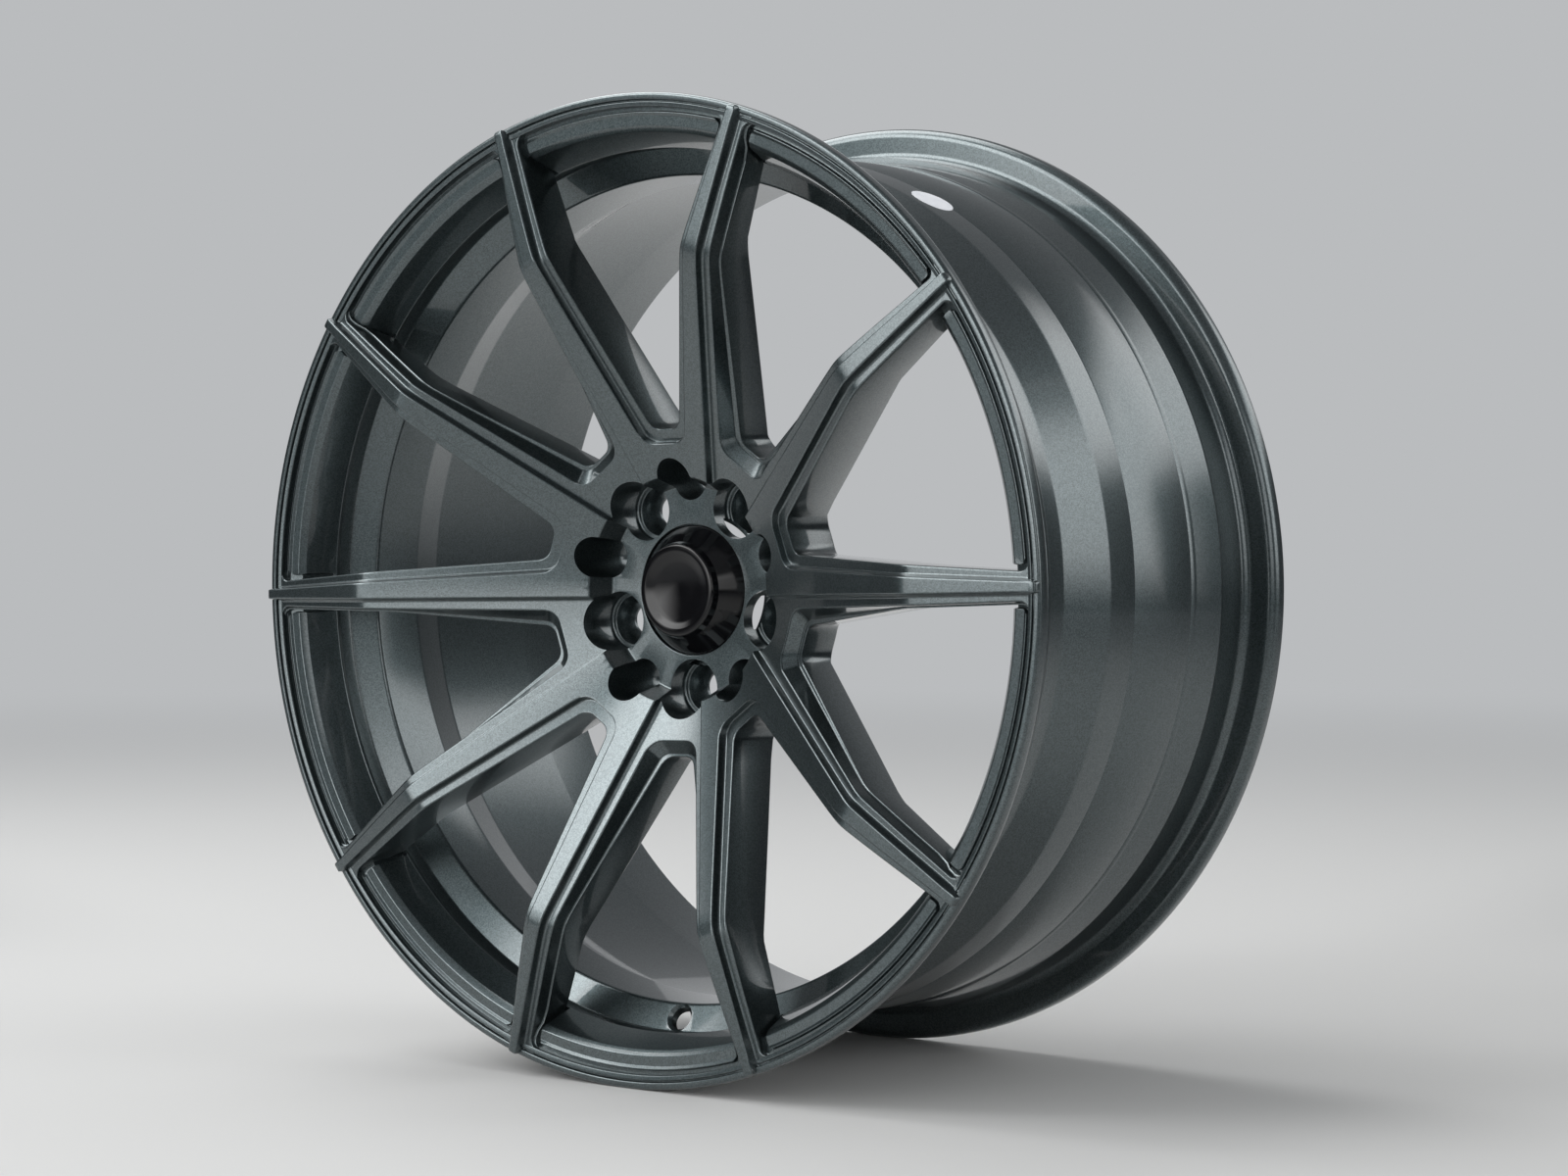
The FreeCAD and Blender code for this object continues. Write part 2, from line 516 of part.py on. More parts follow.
# Centre cap: moulded dome with a dished boss, held by prongs that hook behind the hub's lip
cap = doc.addObject("PartDesign::Body", "centre_cap")
cap.Label = "centre_cap"
cap_plane = [f for f in cap.Origin.OriginFeatures if f.Role == "XY_Plane"][0]
cap_sketch = cap.newObject("Sketcher::SketchObject", "cap_section")
cap_sketch.AttachmentSupport = [(cap_plane, "")]
cap_sketch.MapMode = "FlatFace"
cap_sketch.setExpression("AttachmentOffset.Base.y", "%s - dims.front_datum" % FRONT)
cap_edge = "dims.cap_seat_radius - dims.cap_clearance"
prong = "(dims.cap_bore_radius - dims.prong_gap)"
prong_inside = "(%s - dims.prong_wall)" % prong
hook_depth = cap_floor + " + dims.cap_lip_thickness + dims.hook_clearance"
wire_depth = "(%s + dims.hook_height / 2)" % hook_depth
boss_top = "dims.plate_depth - dims.cap_boss_rise"
draw_outline(cap_sketch, [(x, deep(y), radius) for x, y, radius in [
    ("0", boss_top + " + dims.cap_centre_drop", None),
    ("dims.cap_dish_radius", boss_top + " + dims.cap_dish_drop", None),
    ("dims.cap_boss_radius - dims.cap_rim_width", boss_top, None),
    ("dims.cap_boss_radius", boss_top, "dims.cap_rim_width / 2"),
    ("dims.cap_cone_radius", "dims.plate_depth - dims.cap_cone_rise", None),
    (cap_edge, cap_floor + " - dims.cap_flange", None),
    (cap_edge, cap_floor, None),
    (prong, cap_floor, None),
    (prong, hook_depth, None),
    (prong + " + dims.hook_reach + dims.prong_gap", hook_depth, None),
    (prong, prong_end, None),
    (prong_inside, prong_end, None),
    (prong_inside, wire_depth + " + dims.wire_radius + 2 * dims.wire_clearance", None),
    (prong_inside + " + dims.wire_groove", wire_depth + " + dims.wire_radius - dims.wire_clearance", None),
    (prong_inside + " + dims.wire_groove", wire_depth + " - dims.wire_radius + dims.wire_clearance", None),
    (prong_inside, wire_depth + " - dims.wire_radius - 2 * dims.wire_clearance", None),
    (prong_inside, cap_floor, None),
    ("dims.cap_cone_radius - dims.cap_wall", "dims.plate_depth - dims.cap_cone_rise + dims.cap_wall", None),
    ("dims.cap_boss_radius - dims.cap_wall", boss_top + " + dims.cap_centre_drop + dims.cap_wall", None),
    ("0", boss_top + " + dims.cap_centre_drop + dims.cap_wall", None),
]])
cap_turn = cap.newObject("PartDesign::Revolution", "cap_dome")
cap_turn.Profile = cap_sketch
cap_turn.ReferenceAxis = (cap_sketch, ["V_Axis"])
cap_turn.Angle = 360
doc.recompute()

# Slots part the skirt into prongs
slot_plane = [f for f in cap.Origin.OriginFeatures if f.Role == "XY_Plane"][0]
slot_sketch = cap.newObject("Sketcher::SketchObject", "prong_slot")
slot_sketch.AttachmentSupport = [(slot_plane, "")]
slot_sketch.MapMode = "FlatFace"
slot_sketch.setExpression("AttachmentOffset.Base.y", "%s - dims.front_datum" % FRONT)
slot_half = "dims.prong_slot / 2"
slot_start = cap_floor + " + dims.cap_flange / 2"
draw_outline(slot_sketch, [
    ("-" + slot_half, deep(slot_start), None),
    (slot_half, deep(slot_start), None),
    (slot_half, deep(prong_end + " + dims.cap_flange"), None),
    ("-" + slot_half, deep(prong_end + " + dims.cap_flange"), None),
])
slot = cap.newObject("PartDesign::Pocket", "slot")
slot.Profile = slot_sketch
slot.Type = "Length"
slot.setExpression("Length", "dims.cap_seat_radius")
slot.Reversed = True
doc.recompute()
cap_axis = [f for f in cap.Origin.OriginFeatures if f.Role == "Y_Axis"][0]
slots = cap.newObject("PartDesign::PolarPattern", "slots")
slots.Originals = [slot]
slots.Axis = (cap_axis, [""])
slots.Angle = 360
slots.setExpression("Occurrences", "dims.prong_count")
cap.Tip = slots

# Spring wire that keeps the prongs spread, an open ring in their groove
spring = doc.addObject("Part::Torus", "cap_spring_ring")
spring.Label = "cap_spring_ring"
spring.setExpression("Radius1", "%s + dims.wire_groove - dims.wire_radius - dims.wire_clearance" % prong_inside)
spring.setExpression("Radius2", "dims.wire_radius")
spring.setExpression("Angle3", "360 - dims.wire_split")
spring.Placement.Rotation = FreeCAD.Rotation(FreeCAD.Vector(1, 0, 0), -90)
spring.setExpression("Placement.Base.y", "%s + %s" % (FRONT, wire_depth))
doc.recompute()

nodes = [wheel, cap, spring]
for obj in doc.Objects:
    if "Invalid" in obj.State or "Error" in obj.State:
        raise RuntimeError("%s failed: %s" % (obj.Name, obj.State))
for node in nodes:
    shape = node.Shape
    if shape.isNull() or not shape.isValid():
        raise RuntimeError("%s has no valid shape" % node.Label)
    box = shape.BoundBox
    print(node.Label, "solids", len(shape.Solids), "volume cm3 %.2f" % (shape.Volume / 1000),
          "x %.1f %.1f y %.1f %.1f z %.1f %.1f" % (box.XMin, box.XMax, box.YMin, box.YMax, box.ZMin, box.ZMax))

os.makedirs("parts", exist_ok=True)
for node in nodes:
    node.Shape.exportStep("parts/%s.step" % node.Label)
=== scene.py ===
import bmesh
import bpy
import math
from mathutils import Matrix, Vector
from mathutils.geometry import delaunay_2d_cdt


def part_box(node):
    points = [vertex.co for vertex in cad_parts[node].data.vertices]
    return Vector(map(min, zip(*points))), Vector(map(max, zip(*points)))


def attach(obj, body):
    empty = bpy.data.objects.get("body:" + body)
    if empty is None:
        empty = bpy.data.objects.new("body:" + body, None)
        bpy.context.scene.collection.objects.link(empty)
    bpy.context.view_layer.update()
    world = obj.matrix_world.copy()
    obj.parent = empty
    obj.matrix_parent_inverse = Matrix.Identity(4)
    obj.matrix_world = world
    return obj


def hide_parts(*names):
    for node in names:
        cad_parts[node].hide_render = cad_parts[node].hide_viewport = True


# Alloy car wheel, 18 x 8 J, standing on its rim, seen from its street side. Lengths are in millimetres
# until a mesh is made. A depth runs backwards along the axle from the front lip's plane, a radius out
# from the axle, and an angle from +X towards +Z as seen from the street.
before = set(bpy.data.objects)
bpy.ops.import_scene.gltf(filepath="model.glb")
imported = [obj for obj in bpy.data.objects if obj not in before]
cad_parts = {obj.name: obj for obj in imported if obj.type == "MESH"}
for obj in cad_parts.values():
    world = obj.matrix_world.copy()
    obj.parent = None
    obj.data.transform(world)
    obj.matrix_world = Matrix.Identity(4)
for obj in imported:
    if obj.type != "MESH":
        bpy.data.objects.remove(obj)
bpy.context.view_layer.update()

# Wheel: one aluminium casting, sprayed gunmetal under clear coat. The rim is turned from one section.
# Ten mirrored half pairs of spokes make the disc, each drawn as level lines round its windows, and the
# hub's recess, bolt holes and reliefs are cut from it before the two are joined.
MM = 0.001
FLANGE_HEIGHT = 17.3
wheel_low, wheel_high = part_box("wheel")
lip = min(-wheel_low.x, wheel_high.x, -wheel_low.z, wheel_high.z) / MM
overall = 2 * wheel_high.y / MM
bead = lip - FLANGE_HEIGHT
PAIRS = 5
PAIR_ANGLE = math.radians(91.2)
HALF_SECTOR = math.pi / PAIRS
VALLEY_ANGLE = PAIR_ANGLE - HALF_SECTOR
VALVE_ANGLE = VALLEY_ANGLE - 4 * HALF_SECTOR

# Section of the spoke disc: the face rises from the recess to a rounded kink and falls to the tips, a
# ledge lies below it, a second step below the ledge, and the back leans from the pad to the rim
RECESS_RADIUS, RECESS_DEPTH, RECESS_FOOT = 57.5, 41.5, 52.8
PLATE_DEPTH, PAD_DEPTH, PAD_RADIUS = 55.0, 77.0, 75.0
KINK_RADIUS, KINK_RISE, KINK_SAG = lip - 72.9, 8.6, 0.95
TIP_RADIUS, TIP_RISE, TIP_ROUND, NOSE_START = lip - 0.4, 3.0, 1.4, lip - 2.4
STEP_START, STEP_FULL = 26.0, 40.0
LEDGE_DROP, RIM_SETTLE, SETTLE_START, SETTLE_END = 4.4, 0.45, lip - 46, lip - 10
SECOND_DROP, SECOND_SHARE = 8.0, 0.4
THROAT_DEPTH = 24.0
BACK_LINE = [(0, PAD_DEPTH), (PAD_RADIUS, PAD_DEPTH), (PAD_RADIUS + 3, PAD_DEPTH - 3), (88, 64.5),
             (lip - 62.9, THROAT_DEPTH), (lip - 21.9, THROAT_DEPTH), (lip - 16.4, 10.4), (TIP_RADIUS, 2.7)]

# Window outlines: half widths at the hub and rim stations, inner end and its fillet
HUB_STATION, RIM_STATION = 80.0, 230.0
VEE_FACE = (15.4, 71.4, 73.8, 10.0)
VEE_OPEN = (8.0, 66.9, 81.2, 7.0)
VALLEY_FACE = (22.7, 72.6)
VALLEY_LEDGE = (15.6, 68.2, 76.0, 9.0)
VALLEY_SECOND = (9.9, 72.4, 81.9, 7.5)
VALLEY_OPEN = (6.6, 73.5, 84.0, 7.0)
WINDOW_RIM, WINDOW_FILLET = lip - 6.8, 5.0
EDGE_ROUND, FOOT_ROUND, BACK_ROUND, DRAFT, ROUND_ROOM = 0.9, 1.0, 1.4, 0.8, 6.0


def between(points, x):
    """Height of a line of points at x."""
    for (x0, y0), (x1, y1) in zip(points, points[1:]):
        if x <= x1:
            return y0 + (y1 - y0) * (x - x0) / (x1 - x0)
    return points[-1][1]


def ramp(start, end, x):
    """0 up to start, 1 from end on, smooth between."""
    t = min(max((x - start) / (end - start), 0), 1)
    return t * t * (3 - 2 * t)


def quarter(start, end, x):
    """How far a quarter round has fallen at x, as a share of its radius."""
    t = min(max((x - start) / (end - start), 0), 1)
    return 1 - math.sqrt(1 - t * t)


def hub_fade(radius):
    """Steps start outside the hub's core, which the recess takes away."""
    return ramp(STEP_START, STEP_FULL, radius)


def face_depth(radius):
    """Depth of the spoke's face: two straight falls that meet in a rounded kink, and a rounded tip."""
    hub_fall = (RECESS_DEPTH + KINK_RISE) / (KINK_RADIUS - RECESS_RADIUS)
    tip_fall = (KINK_RISE - TIP_RISE) / (TIP_RADIUS - KINK_RADIUS)
    hub_line = hub_fall * (KINK_RADIUS - radius)
    tip_line = tip_fall * (radius - KINK_RADIUS)
    nose = TIP_ROUND * quarter(NOSE_START, TIP_RADIUS, radius)
    return (hub_line + tip_line) / 2 + math.hypot((hub_line - tip_line) / 2, KINK_SAG) - KINK_RISE + nose


def ledge_depth(radius):
    settle = RIM_SETTLE * ramp(SETTLE_START, SETTLE_END, radius)
    return face_depth(radius) + LEDGE_DROP * hub_fade(radius) + settle


def back_depth(radius):
    return between(BACK_LINE, radius)


def second_depth(radius):
    ledge = ledge_depth(radius)
    return ledge + min(SECOND_DROP, SECOND_SHARE * (back_depth(radius) - ledge))


def room(radius):
    """Share of a round's full size: rounds shrink where the spoke runs out inside the rim."""
    return hub_fade(radius) * min(1, (back_depth(radius) - ledge_depth(radius)) / ROUND_ROOM)


def slope_of(edge):
    return (edge[1] - edge[0]) / (RIM_STATION - HUB_STATION)


def on_side(edge, shift, radius):
    """Point of a window's straight side at a radius, moved by shift into the spoke: along, across."""
    slope = slope_of(edge)
    start = edge[0] - slope * HUB_STATION + shift * math.hypot(1, slope)
    steep = 1 + slope * slope
    along = (math.sqrt(steep * radius * radius - start * start) - slope * start) / steep
    return along, start + slope * along


def round_crotch(edge, shift, straight=4, turns=7):
    """A window's inner end, from its middle round the fillet to where the straight side starts."""
    slope = slope_of(edge)
    turn = math.pi / 2 - math.atan(slope)
    inner = edge[2] - shift
    radius = edge[3] + shift
    corner = edge[0] + slope * (inner - HUB_STATION) + shift * math.hypot(1, slope)
    start = corner - radius * math.tan(turn / 2)
    points = [(inner, start * i / straight) for i in range(straight)]
    for i in range(turns + 1):
        a = turn * i / turns
        points.append((inner + radius * (1 - math.cos(a)), start + radius * math.sin(a)))
    return points


def from_vee(along, across):
    """A point beside a V's middle line, in the half sector's own plane."""
    return along, across


def from_valley(along, across):
    """The same for a point beside a valley's middle line."""
    angle = HALF_SECTOR - math.atan2(across, along)
    radius = math.hypot(along, across)
    return radius * math.cos(angle), radius * math.sin(angle)


# Level lines run along a spoke and step by step from its face out into a window. Each has its outlines
# with a shift of their own, a shift into the spoke, the surface it follows, its offset from that, and
# whether it bounds the open window, which closes before the rim.
QUARTER_TURNS = [math.radians(a) for a in (0, 30, 60, 90)]
CONVEX = [(1 - math.sin(a), 1 - math.cos(a)) for a in QUARTER_TURNS]
CONCAVE = [(math.cos(a) - 1, math.sin(a) - 1) for a in QUARTER_TURNS]


def round_levels(outlines, steps, size, surface, opens, draft=0, way=1):
    """The level lines of one rounded edge, or of one rounded foot."""
    return [(outlines, size * across - draft, surface, way * size * down, opens) for across, down in steps]


vee_levels = round_levels([(VEE_FACE, 0)], CONVEX, EDGE_ROUND, face_depth, False)
vee_levels += round_levels([(VEE_FACE, 0)], CONCAVE, FOOT_ROUND, ledge_depth, False, draft=DRAFT)
vee_levels += round_levels([(VEE_OPEN, 0)], CONVEX, EDGE_ROUND, ledge_depth, True)
vee_levels += round_levels([(VEE_OPEN, 0)], CONVEX[::-1], BACK_ROUND, back_depth, True, way=-1)
step_levels = round_levels([(VALLEY_FACE, 0)], CONVEX, EDGE_ROUND, face_depth, False)
step_levels += round_levels([(VALLEY_FACE, 0)], CONCAVE, FOOT_ROUND, ledge_depth, False, draft=DRAFT)
second_foot = [(VALLEY_SECOND, 0), (VALLEY_LEDGE, -0.25)]
valley_wall = [(VALLEY_OPEN, 0), (VALLEY_LEDGE, -0.5)]
valley_levels = round_levels([(VALLEY_LEDGE, 0)], CONVEX, EDGE_ROUND, ledge_depth, True)
valley_levels += round_levels(second_foot, CONCAVE, FOOT_ROUND, second_depth, True)
valley_levels += round_levels(valley_wall, CONVEX, EDGE_ROUND, second_depth, True)
valley_levels += round_levels(valley_wall, CONVEX[::-1], BACK_ROUND, back_depth, True, way=-1)

# Radii at which the level lines have points, close together at the kink, the window's end and the tip
HUB_CORE = 25.0
hub_radii = [HUB_CORE, 32, 38, 44, 48, 52, 55, RECESS_RADIUS, 60, 64, 68, 72, 76, 80, 84, 88, 92]
side_radii = [96, 102, 110, 118, 126, 134, 142, 150, 155, 159, 163]
side_radii += [KINK_RADIUS + step for step in (-8, -6, -4.4, -3, -1.5, 0, 1.5, 3, 4.4, 6, 8, 11)]
side_radii += [lip - inset for inset in (58, 50, 42, 34, 26, 19, 15, 11.8, 10.8, 9.8, 8.9, 8.2, 7.7, 7.3,
                                         7, 6.8, 4, 3.2, 2.4, 1.6, 1.0, 0.6, 0.4)]


def level_point(level, place, radius):
    """A level line's point beside a straight side: two lengths in the half sector's plane, and a depth."""
    outlines, shift, surface, offset, opens = level
    if opens:
        closing = quarter(WINDOW_RIM - WINDOW_FILLET, WINDOW_RIM + 0.1, min(radius, WINDOW_RIM))
        move = shift - WINDOW_FILLET * closing
    else:
        move = shift + TIP_ROUND * quarter(NOSE_START, TIP_RADIUS, radius)
    along, across = min((on_side(edge, move + extra, radius) for edge, extra in outlines), key=lambda p: p[1])
    return place(along, across) + (surface(radius) + offset * room(radius),)


def level_row(level, place, stations):
    return [level_point(level, place, radius) for radius in stations]


def crotch_row(level, place):
    """A level line's points round the inner end of its window."""
    outlines, shift, surface, offset, _ = level
    row = []
    for along, across in round_crotch(outlines[0][0], shift):
        radius = math.hypot(along, across)
        row.append(place(along, across) + (surface(radius) + offset * room(radius),))
    return row


vee_rows = [crotch_row(level, from_vee) + level_row(level, from_vee, side_radii) for level in vee_levels]
step_rows = [level_row(level, from_valley, hub_radii + side_radii) for level in step_levels]
valley_rows = [crotch_row(level, from_valley) + level_row(level, from_valley, side_radii)
               for level in valley_levels]

sector_points, sector_faces = [], []


def lay(face):
    """One face of the half sector from its corner points."""
    start = len(sector_points)
    sector_points.extend(face)
    sector_faces.append(range(start, start + len(face)))


def lay_strip(first, second):
    for i in range(len(first) - 1):
        lay([first[i], first[i + 1], second[i + 1], second[i]])


def inside(outline, x, z):
    crossings = False
    for (x0, z0), (x1, z1) in zip(outline, outline[1:] + outline[:1]):
        if (z0 > z) != (z1 > z) and x < x0 + (z - z0) / (z1 - z0) * (x1 - x0):
            crossings = not crossings
    return crossings


def lay_field(outline, surface, rings, pitch=3.5, clear=1.6):
    """Fill an outline in the half sector's plane with small triangles that lie on a turned surface."""
    flat = [(p[0], p[1]) for p in outline]
    points = [Vector(p) for p in flat]
    for radius in rings:
        count = max(2, round(radius * HALF_SECTOR / pitch))
        for i in range(1, count):
            angle = HALF_SECTOR * i / count
            spot = Vector((radius * math.cos(angle), radius * math.sin(angle)))
            if inside(flat, spot.x, spot.y) and min((spot - Vector(p)).length for p in flat) > clear:
                points.append(spot)
    loop = [(i, (i + 1) % len(flat)) for i in range(len(flat))]
    found, _, faces, _, _, _ = delaunay_2d_cdt(points, loop, [], 1, 1e-5)
    for face in faces:
        lay([(found[i].x, found[i].y, surface(found[i].length)) for i in face])


def on_plane(radii, angle):
    """Points along a half sector's bounding plane."""
    return [(radius * math.cos(angle), radius * math.sin(angle)) for radius in radii]


for rows in (vee_rows, step_rows, valley_rows):
    for first, second in zip(rows, rows[1:]):
        lay_strip(first, second)
hubs = len(hub_radii)
crotches = len(vee_rows[0]) - len(side_radii)
lay_strip(vee_rows[0][crotches:], step_rows[0][hubs:])
lay_strip(step_rows[-1][hubs:], valley_rows[0][crotches:])
lay_strip(vee_rows[-1][crotches:], valley_rows[-1][crotches:])
lay([row[-1] for row in vee_rows + valley_rows[::-1] + step_rows[::-1]])

# Hub core: the face, the valley's floor and the back close on an arc that the hub's bore takes away
FACE_PARTS, FLOOR_PARTS = 5, 3
core_front = [math.atan2(row[0][1], row[0][0]) for row in step_rows]
core_angles = [core_front[0] * i / FACE_PARTS for i in range(FACE_PARTS)] + core_front
core_angles += [core_front[-1] + (HALF_SECTOR - core_front[-1]) * i / FLOOR_PARTS
                for i in range(1, FLOOR_PARTS + 1)]
core_arc = [(HUB_CORE * math.cos(a), HUB_CORE * math.sin(a)) for a in core_angles]
face_axis = [r for r in hub_radii[1:] if r < 70]
face_rings = range(30, 96, 4)
face_field = on_plane([HUB_CORE] + face_axis, 0) + vee_rows[0][:crotches + 1]
face_field += step_rows[0][:hubs + 1][::-1] + core_arc[1:FACE_PARTS][::-1]
lay_field(face_field, face_depth, face_rings)
floor_field = step_rows[-1][:hubs + 1] + valley_rows[0][:crotches + 1][::-1]
floor_field += on_plane(face_axis[::-1], HALF_SECTOR) + core_arc[-FLOOR_PARTS:][::-1]
lay_field(floor_field, ledge_depth, face_rings)
back_axis = [32, 40, 48, 56, 64, 70, 75, 78]
back_field = on_plane([HUB_CORE] + back_axis, 0) + vee_rows[-1][:crotches + 1]
back_field += valley_rows[-1][:crotches + 1][::-1] + on_plane(back_axis[::-1], HALF_SECTOR)
back_field += core_arc[1:][::-1]
lay_field(back_field, back_depth, back_axis + [83, 88, 92])
lay_strip([p + (face_depth(HUB_CORE),) for p in core_arc], [p + (PAD_DEPTH,) for p in core_arc])


def in_frame(radius, angle, depth):
    """A point round the axle, in the row frame, in metres."""
    return Vector((radius * math.cos(angle), depth - overall / 2, radius * math.sin(angle))) * MM


def mesh_object(name, points, faces, merge=0.002):
    """A closed mesh from points in metres, joined where they meet, with its faces turned outwards."""
    mesh = bpy.data.meshes.new(name)
    mesh.from_pydata(points, [], faces)
    work = bmesh.new()
    work.from_mesh(mesh)
    bmesh.ops.remove_doubles(work, verts=work.verts, dist=merge * MM)
    bmesh.ops.dissolve_degenerate(work, edges=work.edges, dist=merge * MM)
    bmesh.ops.recalc_face_normals(work, faces=work.faces)
    work.to_mesh(mesh)
    work.free()
    piece = bpy.data.objects.new(name, mesh)
    bpy.context.scene.collection.objects.link(piece)
    return piece


disc_points, disc_faces = [], []
for k in range(PAIRS):
    for side in (1, -1):
        start = len(disc_points)
        middle = PAIR_ANGLE - 2 * HALF_SECTOR * k
        for x, z, depth in sector_points:
            disc_points.append(in_frame(math.hypot(x, z), middle + side * math.atan2(z, x), depth))
        for face in sector_faces:
            disc_faces.append([start + i for i in face])
disc = mesh_object("spoke_disc", disc_points, disc_faces)


def rounded(corners, step=math.radians(18), share=0.49):
    """Outline of (radius, depth, round) corners with their rounds drawn as short steps. A round takes
    no more than its share of a side, so that neighbouring rounds keep apart."""
    outline = []
    for i, (x, y, size) in enumerate(corners):
        corner = Vector((x, y))
        if not size:
            outline.append((x, y))
            continue
        back = Vector(corners[i - 1][:2]) - corner
        ahead = Vector(corners[(i + 1) % len(corners)][:2]) - corner
        turn = math.pi - back.angle(ahead)
        reach = min(size * math.tan(turn / 2), share * back.length, share * ahead.length)
        size = reach / math.tan(turn / 2)
        start, end = corner + back.normalized() * reach, corner + ahead.normalized() * reach
        centre = corner + (back.normalized() + ahead.normalized()).normalized() * math.hypot(size, reach)
        count = max(2, math.ceil(turn / step))
        for j in range(count + 1):
            t = j / count
            arm = (start - centre) * math.sin((1 - t) * turn) + (end - centre) * math.sin(t * turn)
            outline.append(tuple(centre + arm / math.sin(turn)))
    return outline


def turned(name, outline, segments, axis_radius=0, axis_angle=0):
    """A solid turned from a closed outline about the axle, or about a line beside it."""
    centre = in_frame(axis_radius, axis_angle, 0)
    points, faces = [], []
    for k in range(segments):
        angle = 2 * math.pi * k / segments
        points += [centre + in_frame(radius, angle, depth + overall / 2) for radius, depth in outline]
    count = len(outline)
    for k in range(segments):
        here, there = k * count, (k + 1) % segments * count
        for i in range(count):
            j = (i + 1) % count
            if outline[i][0] or outline[j][0]:
                faces.append([here + i, here + j, there + j, there + i])
    return mesh_object(name, points, faces)


def merged(name, pieces):
    """Several solids that do not touch, as one."""
    work = bmesh.new()
    for piece in pieces:
        work.from_mesh(piece.data)
        bpy.data.objects.remove(piece)
    mesh = bpy.data.meshes.new(name)
    work.to_mesh(mesh)
    work.free()
    whole = bpy.data.objects.new(name, mesh)
    bpy.context.scene.collection.objects.link(whole)
    return whole


def combine(base, tool, operation):
    """Boolean of two solids. The tool goes."""
    step = base.modifiers.new(operation, "BOOLEAN")
    step.operation = operation
    step.solver = "EXACT"
    step.object = tool
    bpy.context.view_layer.update()
    mesh = bpy.data.meshes.new_from_object(base.evaluated_get(bpy.context.evaluated_depsgraph_get()))
    base.modifiers.clear()
    base.data = mesh
    bpy.data.objects.remove(tool)


# Hub: recess, plate, cap seat and centre bore in one cut, then the two bolt circles and the reliefs
CAP_SEAT, CAP_BORE, CAP_FLOOR, CAP_LIP = 33.3, 30.5, PLATE_DEPTH + 2.5, 4.5
CENTRE_BORE, BORE_CHAMFER = 73.1 / 2, 2.0
CHAMBER, CHAMBER_END = CENTRE_BORE + 2.4, CAP_FLOOR + 10
AHEAD, BEYOND = -30.0, PAD_DEPTH + 3
MOUTH = RECESS_RADIUS + 3
hub_cut = turned("hub_cut", rounded([
    (0, AHEAD, 0), (MOUTH, AHEAD, 0), (MOUTH, face_depth(MOUTH) - 0.25, 0),
    (RECESS_RADIUS, RECESS_DEPTH, 2.2), (RECESS_FOOT, PLATE_DEPTH, 1.2),
    (CAP_SEAT, PLATE_DEPTH, 0.4), (CAP_SEAT, CAP_FLOOR, 0), (CAP_BORE, CAP_FLOOR, 0),
    (CAP_BORE, CAP_FLOOR + CAP_LIP, 0), (CHAMBER, CAP_FLOOR + CAP_LIP, 0), (CHAMBER, CHAMBER_END, 0),
    (CENTRE_BORE, CHAMBER_END, 0), (CENTRE_BORE, PAD_DEPTH - BORE_CHAMFER, 0),
    (CENTRE_BORE + BEYOND - PAD_DEPTH + BORE_CHAMFER, BEYOND, 0), (0, BEYOND, 0),
]), segments=160)
combine(disc, hub_cut, "DIFFERENCE")

HOLE, SEAT_SLOPE = 7.5, 1 / math.tan(math.radians(30))
RING_CIRCLE, RING_BORE, RING_SEAT, RING_DEPTH = 100.0, 15.0, 12.5, 66.0
POCKET_CIRCLE, POCKET_BORE, POCKET_DEPTH = 112.0, 10.5, 64.5


def bolt_cut(name, bore, seat, seat_depth, circle, angle):
    """A bolt hole with its conical seat, and a flat floor round the seat where the counterbore is wider."""
    floored = seat < bore
    outline = [(0, AHEAD, 0), (bore, AHEAD, 0), (bore, seat_depth, 1.0 if floored else 0)]
    if floored:
        outline.append((seat, seat_depth, 0.6))
    outline += [(HOLE, seat_depth + (seat - HOLE) * SEAT_SLOPE, 0), (HOLE, BEYOND, 0), (0, BEYOND, 0)]
    return turned(name, rounded(outline), segments=72, axis_radius=circle / 2, axis_angle=angle)


RELIEF_INNER, RELIEF_OUTER, RELIEF_DEPTH, RELIEF_ROUND = 60.0, 73.0, 8.0, 2.5
RELIEF_HALF_INNER, RELIEF_HALF_OUTER = 4.0, 7.5


def relief_cut(name, angle):
    """A rounded pocket in the mounting pad."""
    outline = rounded([
        (RELIEF_INNER, -RELIEF_HALF_INNER, RELIEF_ROUND), (RELIEF_OUTER, -RELIEF_HALF_OUTER, RELIEF_ROUND),
        (RELIEF_OUTER, RELIEF_HALF_OUTER, RELIEF_ROUND), (RELIEF_INNER, RELIEF_HALF_INNER, RELIEF_ROUND)])
    points = [in_frame(math.hypot(x, y), angle + math.atan2(y, x), depth)
              for depth in (PAD_DEPTH - RELIEF_DEPTH, BEYOND) for x, y in outline]
    count = len(outline)
    faces = [range(count), range(count, 2 * count)]
    faces += [[i, (i + 1) % count, (i + 1) % count + count, i + count] for i in range(count)]
    return mesh_object(name, points, faces)


cuts = []
for k in range(PAIRS):
    turn = 2 * HALF_SECTOR * k
    cuts.append(bolt_cut("ring_hole", RING_BORE, RING_SEAT, RING_DEPTH, RING_CIRCLE, VALLEY_ANGLE - turn))
    cuts.append(bolt_cut("pocket_hole", POCKET_BORE, POCKET_BORE, POCKET_DEPTH, POCKET_CIRCLE,
                         PAIR_ANGLE - turn))
    cuts.append(relief_cut("relief", PAIR_ANGLE - HALF_SECTOR / 2 - turn))
    cuts.append(relief_cut("relief", PAIR_ANGLE + HALF_SECTOR / 2 - turn))
combine(disc, merged("hub_holes", cuts), "DIFFERENCE")

